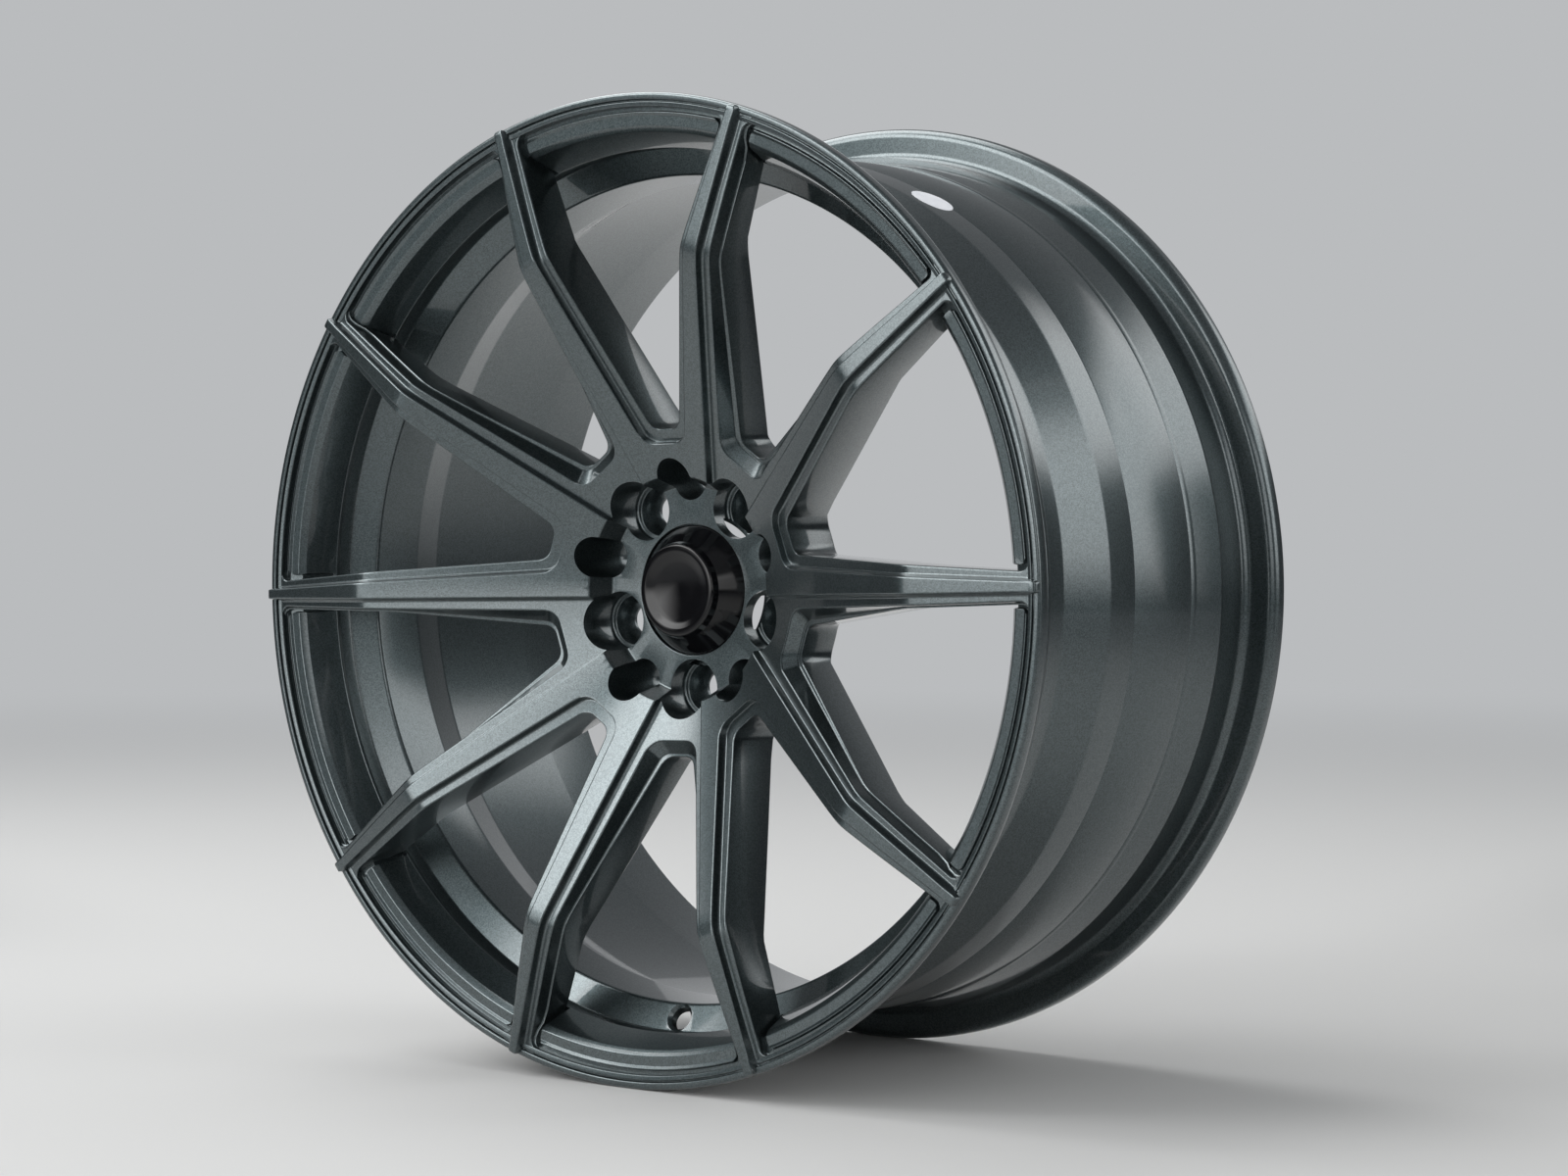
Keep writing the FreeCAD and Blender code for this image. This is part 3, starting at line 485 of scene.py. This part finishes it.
# Rim, from the front lip over the tyre side to the rear lip and back along the inner side
BARREL_WALL, FLANGE, SEAT_FALL, SEAT_END, HUMP_RISE, HUMP = 5.6, 10.4, 1.6, 29.4, 0.3, 33.4
WELL, WELL_START, WELL_END = bead - 16.1, 47, 72
BARREL_FRONT, BARREL_START, BARREL_REAR, BARREL_END = bead - 6.6, 98, bead - 3.4, 172
SLOPE_FRONT, SLOPE_REAR = (lip - 24.1, 35.5), (lip - 37.9, 42.5)
RING_INNER, ISLAND_EDGE, CHANNEL_DEPTH, BAND_DEPTH = lip - 7.0, lip - 9.0, 5.4, 4.7
SCORES, SCORE_DEPTH, SCORE_HALF = (119, 168), 0.35, 0.6
rear = overall
barrel_line = [(BARREL_START, BARREL_FRONT), (BARREL_END, BARREL_REAR)]
scored = []
for depth in SCORES:
    radius = between(barrel_line, depth)
    scored += [(radius, depth - SCORE_HALF, 0), (radius - SCORE_DEPTH, depth, 0.3),
               (radius, depth + SCORE_HALF, 0)]
rim = turned("rim", rounded([
    (lip, 0, 1.8), (lip, FLANGE, 6.4), (bead, FLANGE, 5), (bead - SEAT_FALL, SEAT_END, 2),
    (bead + HUMP_RISE, HUMP, 1.5), (bead - 1.2, 38, 2), (WELL, WELL_START, 5), (WELL, WELL_END, 6),
    (BARREL_FRONT, BARREL_START, 8), *scored, (BARREL_REAR, BARREL_END, 8),
    (bead + HUMP_RISE, rear - HUMP, 1.5), (bead - SEAT_FALL, rear - SEAT_END, 2), (bead, rear - FLANGE, 5),
    (lip, rear - FLANGE, 6.4), (lip, rear, 1.8), (lip - 5, rear, 1.5), (bead - BARREL_WALL, rear - 9.4, 4),
    (BARREL_REAR - BARREL_WALL, BARREL_END, 8), (BARREL_FRONT - BARREL_WALL, BARREL_START, 8),
    (WELL - BARREL_WALL, WELL_END, 6), (*SLOPE_REAR, 2.5), (*SLOPE_FRONT, 1.2), (SLOPE_FRONT[0], 27.5, 1),
    (lip - 25.6, THROAT_DEPTH, 1.5), (lip - 19, 7.5, 1.5), (lip - 16.1, BAND_DEPTH, 1),
    (lip - 11.2, BAND_DEPTH, 0.6), (lip - 9.5, 3.1, 0.5), (ISLAND_EDGE, CHANNEL_DEPTH, 0.3),
    (RING_INNER, CHANNEL_DEPTH, 0.3), (RING_INNER, 1.1, 0.6), (lip - 4.7, 0.6, 0.5),
    (lip - 4.4, 2, 0.2), (lip - 3.9, 2, 0.2), (lip - 3.5, 0, 0.8),
]), segments=288)

# Gaps beside the spokes: between two spokes the rim's band is an island with rounded ends
GAP, GAP_DRAFT, GAP_TOP, ISLAND_ROUND, SPOKE_OVERLAP = 3.0, 0.6, 3.0, 4.5, 0.8
GAP_FLOOR = [(lip - 27, THROAT_DEPTH), (lip - 23.1, THROAT_DEPTH), (lip - 16.5, 7.5),
             (RING_INNER, CHANNEL_DEPTH)]
gap_radii = [lip - inset for inset in (27, 23.1, 19.8, 16.5)]
gap_radii += [ISLAND_EDGE - ISLAND_ROUND * (1 - math.sin(math.radians(15 * i))) for i in range(7)]


def gap_cut(name, edge, place, middle, side):
    """Cutter along one side of a spoke, with an island's end as its other wall."""
    points, faces = [], []
    for i, radius in enumerate(gap_radii):
        width = GAP + ISLAND_ROUND * quarter(ISLAND_EDGE - ISLAND_ROUND, ISLAND_EDGE, radius)
        floor_depth = between(GAP_FLOOR, radius)
        section = ((SPOKE_OVERLAP, AHEAD), (-width - GAP_DRAFT, AHEAD), (-width - GAP_DRAFT, GAP_TOP),
                   (GAP_DRAFT - width, floor_depth), (SPOKE_OVERLAP, floor_depth))
        count = len(section)
        for shift, depth in section:
            x, z = place(*on_side(edge, shift, radius))
            points.append(in_frame(math.hypot(x, z), middle + side * math.atan2(z, x), depth))
        if i:
            last, here = (i - 1) * count, i * count
            faces += [[last + j, last + (j + 1) % count, here + (j + 1) % count, here + j]
                      for j in range(count)]
    faces += [range(count), range(len(points) - count, len(points))]
    return mesh_object(name, points, faces)


gap_cuts = []
for k in range(PAIRS):
    for side in (1, -1):
        middle = PAIR_ANGLE - 2 * HALF_SECTOR * k
        gap_cuts.append(gap_cut("vee_gap", VEE_OPEN, from_vee, middle, side))
        gap_cuts.append(gap_cut("valley_gap", VALLEY_LEDGE, from_valley, middle, side))
combine(rim, merged("gaps", gap_cuts), "DIFFERENCE")

# Valve hole, countersunk, square to the slope between throat and well
VALVE_BORE, VALVE_MOUTH, VALVE_FLARE, VALVE_SINK = 5.65, 7.5, 9.4, 1.6
VALVE_FRONT, VALVE_REAR = -12, 14
slope_middle = (Vector(SLOPE_FRONT) + Vector(SLOPE_REAR)) / 2
slope_run = Vector(SLOPE_FRONT) - Vector(SLOPE_REAR)
lean = math.atan2(-slope_run.y, slope_run.x)
valve_cut = turned("valve_cut", rounded([
    (0, VALVE_FRONT, 0), (VALVE_FLARE, VALVE_FRONT, 0), (VALVE_FLARE, -VALVE_SINK, 0), (VALVE_MOUTH, 0, 0),
    (VALVE_BORE, VALVE_SINK, 0.5), (VALVE_BORE, VALVE_REAR, 0), (0, VALVE_REAR, 0)]), segments=48)
valve_cut.data.transform(Matrix.Translation(Vector((0, overall / 2, 0)) * MM))
radial = Vector((math.cos(VALVE_ANGLE), 0, math.sin(VALVE_ANGLE)))
square = (radial * math.sin(lean) + Vector((0, math.cos(lean), 0))).normalized()
valve_cut.data.transform(Vector((0, 1, 0)).rotation_difference(square).to_matrix().to_4x4())
valve_cut.data.transform(Matrix.Translation(in_frame(slope_middle.x, VALVE_ANGLE, slope_middle.y)))
combine(rim, valve_cut, "DIFFERENCE")

SHARP_ANGLE = math.radians(32)
wheel = disc
combine(wheel, rim, "UNION")
wheel.name = "wheel_casting"
wheel.data.shade_smooth()
wheel.data.set_sharp_from_angle(angle=SHARP_ANGLE)


def turned_normal(spot, surface, near=0.01, step=0.05):
    """Street-side normal of a turned surface at a point of the row frame, or None for a point off it."""
    radius = math.hypot(spot.x, spot.z) / MM
    off = abs(spot.y / MM + overall / 2 - surface(radius))
    if not RECESS_FOOT < radius < TIP_RADIUS - 3 or off > near:
        return None
    fall = (surface(radius + step) - surface(radius - step)) / (2 * step)
    return Vector((fall * spot.x / (radius * MM), -1, fall * spot.z / (radius * MM))).normalized()


# Spoke faces and ledges shade as the true turned surfaces, whatever triangles the joins left on them
ALIKE = 0.98
shading = [Vector(corner.vector) for corner in wheel.data.corner_normals]
spot_normals = [[turned_normal(vertex.co, surface) for surface in (face_depth, ledge_depth)]
                for vertex in wheel.data.vertices]
for polygon in wheel.data.polygons:
    for corner in polygon.loop_indices:
        for normal in spot_normals[wheel.data.loops[corner].vertex_index]:
            if normal and normal.dot(polygon.normal) > ALIKE:
                shading[corner] = normal
wheel.data.normals_split_custom_set(shading)
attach(wheel, "root")
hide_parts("wheel")


def colour(text):
    """Linear colour from an sRGB hex text."""
    parts = [int(text[i:i + 2], 16) / 255 for i in (1, 3, 5)]
    return [p / 12.92 if p <= 0.04045 else ((p + 0.055) / 1.055) ** 2.4 for p in parts] + [1]


def add_node(tree, kind, inputs, **settings):
    """A shader node, with its settings made and its inputs set or linked."""
    node = tree.nodes.new(kind)
    for name, value in settings.items():
        setattr(node, name, value)
    for name, value in inputs.items():
        if isinstance(value, bpy.types.NodeSocket):
            tree.links.new(value, node.inputs[name])
        else:
            node.inputs[name].default_value = value
    return node


def new_material(name):
    """An empty material and its node tree."""
    material = bpy.data.materials.new(name)
    material.use_nodes = True
    material.node_tree.nodes.clear()
    return material, material.node_tree


def gunmetal_paint():
    """Metallic base coat under gloss clear coat. Its aluminium flakes scatter light widely and glint,
    and are drawn 0.5 mm wide to show. The clear coat ripples like orange peel, 4 mm from crest to crest."""
    material, tree = new_material("gunmetal_metallic_paint")
    place = add_node(tree, "ShaderNodeTexCoord", {}).outputs["Object"]
    flakes = add_node(tree, "ShaderNodeTexVoronoi", {"Vector": place, "Scale": 1 / (0.5 * MM)})
    flake_tone = add_node(tree, "ShaderNodeSeparateColor", {"Color": flakes.outputs["Color"]})
    tint = add_node(tree, "ShaderNodeMix", {
        "Factor": flake_tone.outputs["Red"], "A": colour("#3f484a"), "B": colour("#5a6466")},
        data_type="RGBA")
    peel = add_node(tree, "ShaderNodeTexNoise", {"Vector": place, "Scale": 1 / (4 * MM), "Detail": 1.0})
    ripple = add_node(tree, "ShaderNodeBump", {
        "Height": peel.outputs["Fac"], "Strength": 0.05, "Distance": 0.12 * MM})
    shader = add_node(tree, "ShaderNodeBsdfPrincipled", {
        "Base Color": tint.outputs["Result"], "Metallic": 0.92, "Roughness": 0.32, "Coat Weight": 1.0,
        "Coat Roughness": 0.05, "Coat Normal": ripple.outputs["Normal"]})
    add_node(tree, "ShaderNodeOutputMaterial", {"Surface": shader.outputs["BSDF"]})
    return material


wheel.data.materials.clear()
wheel.data.materials.append(gunmetal_paint())

# Spring ring: a split ring of drawn steel wire. It lies in the groove of the cap's prongs and presses
# them outwards behind the hub's lip. Its shape is the solid's own.
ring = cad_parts["cap_spring_ring"]


def spring_steel():
    """Bright drawn wire. The die leaves fine lines along it, 0.1 mm apart, that streak its gloss."""
    material, tree = new_material("drawn_spring_steel")
    place = add_node(tree, "ShaderNodeTexCoord", {}).outputs["Object"]
    parts = add_node(tree, "ShaderNodeSeparateXYZ", {"Vector": place})
    flat = add_node(tree, "ShaderNodeCombineXYZ", {"X": parts.outputs["X"], "Y": parts.outputs["Z"]})
    radius = add_node(tree, "ShaderNodeVectorMath", {0: flat.outputs["Vector"]}, operation="LENGTH")
    section = add_node(tree, "ShaderNodeCombineXYZ", {"X": radius.outputs["Value"], "Y": parts.outputs["Y"]})
    lines = add_node(tree, "ShaderNodeTexNoise", {
        "Vector": section.outputs["Vector"], "Scale": 1 / (0.1 * MM), "Detail": 2.0})
    tint = add_node(tree, "ShaderNodeMix", {
        "Factor": lines.outputs["Fac"], "A": colour("#a4a6a8"), "B": colour("#c9cbcc")}, data_type="RGBA")
    gloss = add_node(tree, "ShaderNodeMapRange", {
        "Value": lines.outputs["Fac"], "To Min": 0.2, "To Max": 0.4})
    relief = add_node(tree, "ShaderNodeBump", {
        "Height": lines.outputs["Fac"], "Strength": 0.15, "Distance": 0.02 * MM})
    shader = add_node(tree, "ShaderNodeBsdfPrincipled", {
        "Base Color": tint.outputs["Result"], "Metallic": 1.0, "Roughness": gloss.outputs["Result"],
        "Normal": relief.outputs["Normal"]})
    add_node(tree, "ShaderNodeOutputMaterial", {"Surface": shader.outputs["BSDF"]})
    return material


ring.data.materials.clear()
ring.data.materials.append(spring_steel())

# Centre cap: a gloss black moulding pressed into the hub's seat, a cone that carries a boss with a
# rounded rim and a dished face. It is turned from one section, and slots part its skirt into prongs.
CAP_EDGE, CONE_TOP, BOSS, BOSS_TOP = CAP_SEAT - 0.4, 24.5, 23.0, PLATE_DEPTH - 13.3
DISH, ROOF = BOSS_TOP + 3, BOSS_TOP + 5.2
PRONG, PRONG_INSIDE, PRONG_END = CAP_BORE - 0.9, CAP_BORE - 2.9, CAP_FLOOR + 9
HOOK, HOOK_REACH, GROOVE = CAP_FLOOR + CAP_LIP + 0.3, 2, PRONG_INSIDE + 0.7
cap = turned("centre_cap_moulding", rounded([
    (0, DISH, 0), (15.5, BOSS_TOP + 1.6, 12), (BOSS - 3.2, BOSS_TOP, 2.5), (BOSS, BOSS_TOP, 1.5),
    (CONE_TOP, BOSS_TOP + 3.8, 0.5), (CAP_EDGE, CAP_FLOOR - 2, 0.5), (CAP_EDGE, CAP_FLOOR, 0),
    (PRONG, CAP_FLOOR, 0), (PRONG, HOOK, 0), (PRONG + HOOK_REACH, HOOK, 0), (PRONG, PRONG_END, 0),
    (PRONG_INSIDE, PRONG_END, 0), (PRONG_INSIDE, HOOK + 2.4, 0), (GROOVE, HOOK + 2.1, 0),
    (GROOVE, HOOK + 0.5, 0), (PRONG_INSIDE, HOOK + 0.2, 0), (PRONG_INSIDE, CAP_FLOOR, 0),
    (22.3, BOSS_TOP + 6, 0.5), (20.8, ROOF, 0.5), (0, ROOF, 0),
]), segments=128)
SLOT_WIDTH, SLOT_COUNT, SLOT_REACH = 7.0, 8, (22, 36)
slot_faces = [(0, 1, 3, 2), (4, 5, 7, 6), (0, 1, 5, 4), (2, 3, 7, 6), (0, 2, 6, 4), (1, 3, 7, 5)]
slots = []
for k in range(SLOT_COUNT):
    angle = 2 * math.pi * k / SLOT_COUNT
    corners = [Matrix.Rotation(-angle, 4, "Y") @ (Vector((x, depth - overall / 2, z)) * MM)
               for depth in (CAP_FLOOR + 1, PRONG_END + 2) for x in SLOT_REACH
               for z in (-SLOT_WIDTH / 2, SLOT_WIDTH / 2)]
    slots.append(mesh_object("slot", corners, slot_faces))
combine(cap, merged("prong_slots", slots), "DIFFERENCE")
cap.data.shade_smooth()
cap.data.set_sharp_from_angle(angle=SHARP_ANGLE)
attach(cap, "root")
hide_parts("centre_cap")


def gloss_black():
    """Polished black plastic. Wiping leaves patches of faint haze, 9 mm wide, that soften its gloss, and
    the moulding's shrinkage bends reflections in slow waves, 14 mm from crest to crest."""
    material, tree = new_material("gloss_black_plastic")
    place = add_node(tree, "ShaderNodeTexCoord", {}).outputs["Object"]
    haze = add_node(tree, "ShaderNodeTexNoise", {"Vector": place, "Scale": 1 / (9 * MM), "Detail": 5.0})
    tint = add_node(tree, "ShaderNodeMix", {
        "Factor": haze.outputs["Fac"], "A": colour("#08080a"), "B": colour("#0f0f11")}, data_type="RGBA")
    gloss = add_node(tree, "ShaderNodeMapRange", {
        "Value": haze.outputs["Fac"], "From Min": 0.3, "From Max": 0.7, "To Min": 0.05, "To Max": 0.14})
    waves = add_node(tree, "ShaderNodeTexNoise", {"Vector": place, "Scale": 1 / (14 * MM), "Detail": 0.0})
    shrink = add_node(tree, "ShaderNodeBump", {
        "Height": waves.outputs["Fac"], "Strength": 0.1, "Distance": 0.2 * MM})
    shader = add_node(tree, "ShaderNodeBsdfPrincipled", {
        "Base Color": tint.outputs["Result"], "Roughness": gloss.outputs["Result"], "IOR": 1.43,
        "Normal": shrink.outputs["Normal"]})
    add_node(tree, "ShaderNodeOutputMaterial", {"Surface": shader.outputs["BSDF"]})
    return material


cap.data.materials.clear()
cap.data.materials.append(gloss_black())

# Sticker: a round inspection label of thin paper, bare, stuck on the barrel's outside behind the well.
# It is a thin disc of rings of points that bends with the barrel.
STICKER_RADIUS, STICKER_DEPTH, STICKER_ANGLE = 11.2, 113.0, math.radians(61.2)
GLUE, PAPER = 0.02, 0.12
PAPER_RINGS, PAPER_STEPS = 5, 48
sticker_points = []
for lift in (GLUE, PAPER):
    for i in range(PAPER_RINGS + 1):
        for k in range(PAPER_STEPS):
            reach = STICKER_RADIUS * i / PAPER_RINGS
            turn = 2 * math.pi * k / PAPER_STEPS
            depth = STICKER_DEPTH + reach * math.cos(turn)
            radius = between(barrel_line, depth) + lift
            sticker_points.append(in_frame(radius, STICKER_ANGLE + reach * math.sin(turn) / radius, depth))
layer = (PAPER_RINGS + 1) * PAPER_STEPS
low_edge, high_edge = PAPER_RINGS * PAPER_STEPS, layer + PAPER_RINGS * PAPER_STEPS
sticker_faces = []
for k in range(PAPER_STEPS):
    j = (k + 1) % PAPER_STEPS
    for start in (0, layer):
        for i in range(PAPER_RINGS):
            low, high = start + i * PAPER_STEPS, start + (i + 1) * PAPER_STEPS
            sticker_faces.append([low + k, low + j, high + j, high + k])
    sticker_faces.append([low_edge + k, low_edge + j, high_edge + j, high_edge + k])
sticker = mesh_object("paper_sticker", sticker_points, sticker_faces)
sticker.data.shade_smooth()
sticker.data.set_sharp_from_angle(angle=SHARP_ANGLE)
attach(sticker, "root")


def label_paper():
    """Thin white paper with a satin coating. Its fibres cloud the white in patches 5 mm wide and show as a
    soft grain, 0.6 mm wide."""
    material, tree = new_material("coated_label_paper")
    place = add_node(tree, "ShaderNodeTexCoord", {}).outputs["Object"]
    fibres = add_node(tree, "ShaderNodeTexNoise", {"Vector": place, "Scale": 1 / (0.6 * MM), "Detail": 3.0})
    clouds = add_node(tree, "ShaderNodeTexNoise", {"Vector": place, "Scale": 1 / (5 * MM), "Detail": 2.0})
    tint = add_node(tree, "ShaderNodeMix", {
        "Factor": clouds.outputs["Fac"], "A": colour("#e2e5ec"), "B": colour("#f6f7fa")}, data_type="RGBA")
    gloss = add_node(tree, "ShaderNodeMapRange", {
        "Value": fibres.outputs["Fac"], "To Min": 0.38, "To Max": 0.6})
    grain = add_node(tree, "ShaderNodeBump", {
        "Height": fibres.outputs["Fac"], "Strength": 0.25, "Distance": 0.03 * MM})
    shader = add_node(tree, "ShaderNodeBsdfPrincipled", {
        "Base Color": tint.outputs["Result"], "Roughness": gloss.outputs["Result"],
        "Normal": grain.outputs["Normal"]})
    add_node(tree, "ShaderNodeOutputMaterial", {"Surface": shader.outputs["BSDF"]})
    return material


sticker.data.materials.append(label_paper())

# Stage, in metres: a painted floor that curves up into a wall all round. It is pale under the wheel and
# behind it, as the camera sees it, and greyer away to the other sides. Soft lamps and the camera follow.
FLOOR_RADIUS, COVE_RADIUS, WALL_HEIGHT, COVE_STEPS = 7.0, 3.0, 3.6, 96
BACKDROP_WAY = (-0.608, 0.794, 0.0)
BACKDROP_COSINE, ASIDE_COSINE = 0.88, 0.7
PALE_REACH, GREY_REACH = 0.42, 2.0
GLOW_START, GLOW_FULL = 0.7, 4.0
floor_height = wheel_low.z
cove = [(0, 0), (FLOOR_RADIUS, 0)]
cove += [(FLOOR_RADIUS + COVE_RADIUS * math.sin(a), COVE_RADIUS * (1 - math.cos(a)))
         for a in (math.radians(5 * i) for i in range(1, 19))]
cove.append((FLOOR_RADIUS + COVE_RADIUS, WALL_HEIGHT))
floor_points, floor_faces = [], []
for k in range(COVE_STEPS):
    angle = 2 * math.pi * k / COVE_STEPS
    floor_points += [(r * math.cos(angle), r * math.sin(angle), floor_height + h) for r, h in cove]
for k in range(COVE_STEPS):
    here, there = k * len(cove), (k + 1) % COVE_STEPS * len(cove)
    floor_faces += [[here + i, there + i, there + i + 1, here + i + 1] for i in range(len(cove) - 1)]
floor = mesh_object("floor", floor_points, floor_faces)
floor.data.flip_normals()
floor.data.shade_smooth()


def pale_floor_paint():
    """Matt wall paint. Rays that the eye or a reflection follows to the backdrop find it evenly pale, as
    a lit backdrop is, while the floor near the wheel keeps the wheel's shadow."""
    material, tree = new_material("pale_floor_paint")
    place = add_node(tree, "ShaderNodeTexCoord", {}).outputs["Object"]
    level = add_node(tree, "ShaderNodeVectorMath", {0: place, 1: (1.0, 1.0, 0.0)}, operation="MULTIPLY")
    away = add_node(tree, "ShaderNodeVectorMath", {0: level.outputs["Vector"]}, operation="LENGTH")
    heading = add_node(tree, "ShaderNodeVectorMath", {0: level.outputs["Vector"]}, operation="NORMALIZE")
    behind = add_node(tree, "ShaderNodeVectorMath", {
        0: heading.outputs["Vector"], 1: BACKDROP_WAY}, operation="DOT_PRODUCT")
    far = add_node(tree, "ShaderNodeMapRange", {
        "Value": away.outputs["Value"], "From Min": PALE_REACH, "From Max": GREY_REACH},
        interpolation_type="SMOOTHSTEP")
    aside = add_node(tree, "ShaderNodeMapRange", {
        "Value": behind.outputs["Value"], "From Min": BACKDROP_COSINE, "From Max": ASIDE_COSINE},
        interpolation_type="SMOOTHSTEP")
    shade = add_node(tree, "ShaderNodeMath", {
        0: far.outputs["Result"], 1: aside.outputs["Result"]}, operation="MULTIPLY")
    tint = add_node(tree, "ShaderNodeMix", {
        "Factor": shade.outputs["Value"], "A": colour("#cfcfce"), "B": colour("#808284")}, data_type="RGBA")
    matt = add_node(tree, "ShaderNodeBsdfPrincipled", {
        "Base Color": tint.outputs["Result"], "Roughness": 0.8, "Specular IOR Level": 0.2})
    rays = add_node(tree, "ShaderNodeLightPath", {})
    mirrored = add_node(tree, "ShaderNodeMath", {
        0: rays.outputs["Is Camera Ray"], 1: rays.outputs["Is Glossy Ray"]}, operation="MAXIMUM")
    seen = add_node(tree, "ShaderNodeMath", {
        0: mirrored.outputs["Value"], 1: rays.outputs["Is Transmission Ray"]}, operation="MAXIMUM")
    distant = add_node(tree, "ShaderNodeMapRange", {
        "Value": away.outputs["Value"], "From Min": GLOW_START, "From Max": GLOW_FULL},
        interpolation_type="SMOOTHSTEP")
    in_view = add_node(tree, "ShaderNodeMath", {0: 1.0, 1: aside.outputs["Result"]}, operation="SUBTRACT")
    backdrop = add_node(tree, "ShaderNodeMath", {
        0: distant.outputs["Result"], 1: in_view.outputs["Value"]}, operation="MULTIPLY")
    pale = add_node(tree, "ShaderNodeMath", {
        0: backdrop.outputs["Value"], 1: seen.outputs["Value"]}, operation="MULTIPLY")
    glow = add_node(tree, "ShaderNodeEmission", {"Color": colour("#babcbe"), "Strength": 1.0})
    shader = add_node(tree, "ShaderNodeMixShader", {
        0: pale.outputs["Value"], 1: matt.outputs["BSDF"], 2: glow.outputs["Emission"]})
    add_node(tree, "ShaderNodeOutputMaterial", {"Surface": shader.outputs["Shader"]})
    return material


floor.data.materials.append(pale_floor_paint())

scene = bpy.context.scene
scene.view_settings.view_transform = "Standard"
world = bpy.data.worlds.new("studio")
scene.world = world
world.use_nodes = True
world.node_tree.nodes.clear()
sky = add_node(world.node_tree, "ShaderNodeBackground", {"Color": colour("#e6eaee"), "Strength": 0.28})
add_node(world.node_tree, "ShaderNodeOutputWorld", {"Surface": sky.outputs["Background"]})


def softbox(name, place, size, radiance):
    """A rectangular lamp that looks at the wheel, as bright to the eye as radiance says in its middle and
    faded towards its edges."""
    lamp = bpy.data.lights.new(name, "AREA")
    lamp.shape = "RECTANGLE"
    lamp.size, lamp.size_y = size
    lamp.energy = math.pi * size[0] * size[1] * radiance
    lamp.use_nodes = True
    tree = lamp.node_tree
    tree.nodes.clear()
    on_lamp = add_node(tree, "ShaderNodeNewGeometry", {}).outputs["Parametric"]
    spot = add_node(tree, "ShaderNodeVectorMath", {0: on_lamp, 1: (0.5, 0.5, 0.0)}, operation="SUBTRACT")
    reach = add_node(tree, "ShaderNodeVectorMath", {0: spot.outputs["Vector"]}, operation="ABSOLUTE")
    parts = add_node(tree, "ShaderNodeSeparateXYZ", {"Vector": reach.outputs["Vector"]})
    edge = add_node(tree, "ShaderNodeMath", {
        0: parts.outputs["X"], 1: parts.outputs["Y"]}, operation="MAXIMUM")
    fade = add_node(tree, "ShaderNodeMapRange", {
        "Value": edge.outputs["Value"], "From Min": 0.2, "From Max": 0.5, "To Min": 1.0, "To Max": 0.0},
        interpolation_type="SMOOTHSTEP")
    glow = add_node(tree, "ShaderNodeEmission", {"Strength": fade.outputs["Result"]})
    add_node(tree, "ShaderNodeOutputLight", {"Surface": glow.outputs["Emission"]})
    holder = bpy.data.objects.new(name, lamp)
    holder.location = place
    holder.rotation_euler = (-Vector(place)).to_track_quat("-Z", "Y").to_euler()
    holder.visible_camera = False
    scene.collection.objects.link(holder)


softbox("key_light", (-1.5, -1.95, 1.8), (2.4, 1.9), 5.6)
softbox("front_light", (-0.6, -2.75, 0.6), (3.0, 1.9), 3.6)
softbox("top_light", (-1.5, 0.1, 2.5), (3.2, 2.8), 4.0)
softbox("side_light", (2.6, 0.9, 0.9), (2.4, 2.4), 2.2)
softbox("back_light", (1.7, 2.4, 1.7), (2.8, 1.9), 2.0)
softbox("right_light", (2.3, -1.8, 0.7), (2.4, 1.8), 1.6)

# Camera at the photograph's viewing angle, fitted to the lip, the rings and the bolt circles
camera = bpy.data.objects.new("camera", bpy.data.cameras.new("camera"))
camera.location = (1.1333, -1.4618, 0.0397)
camera.rotation_euler = (math.radians(88.77), 0, math.radians(37.424))
camera.data.sensor_fit = "HORIZONTAL"
camera.data.sensor_width = 36
camera.data.lens = 81.88
scene.collection.objects.link(camera)
scene.camera = camera
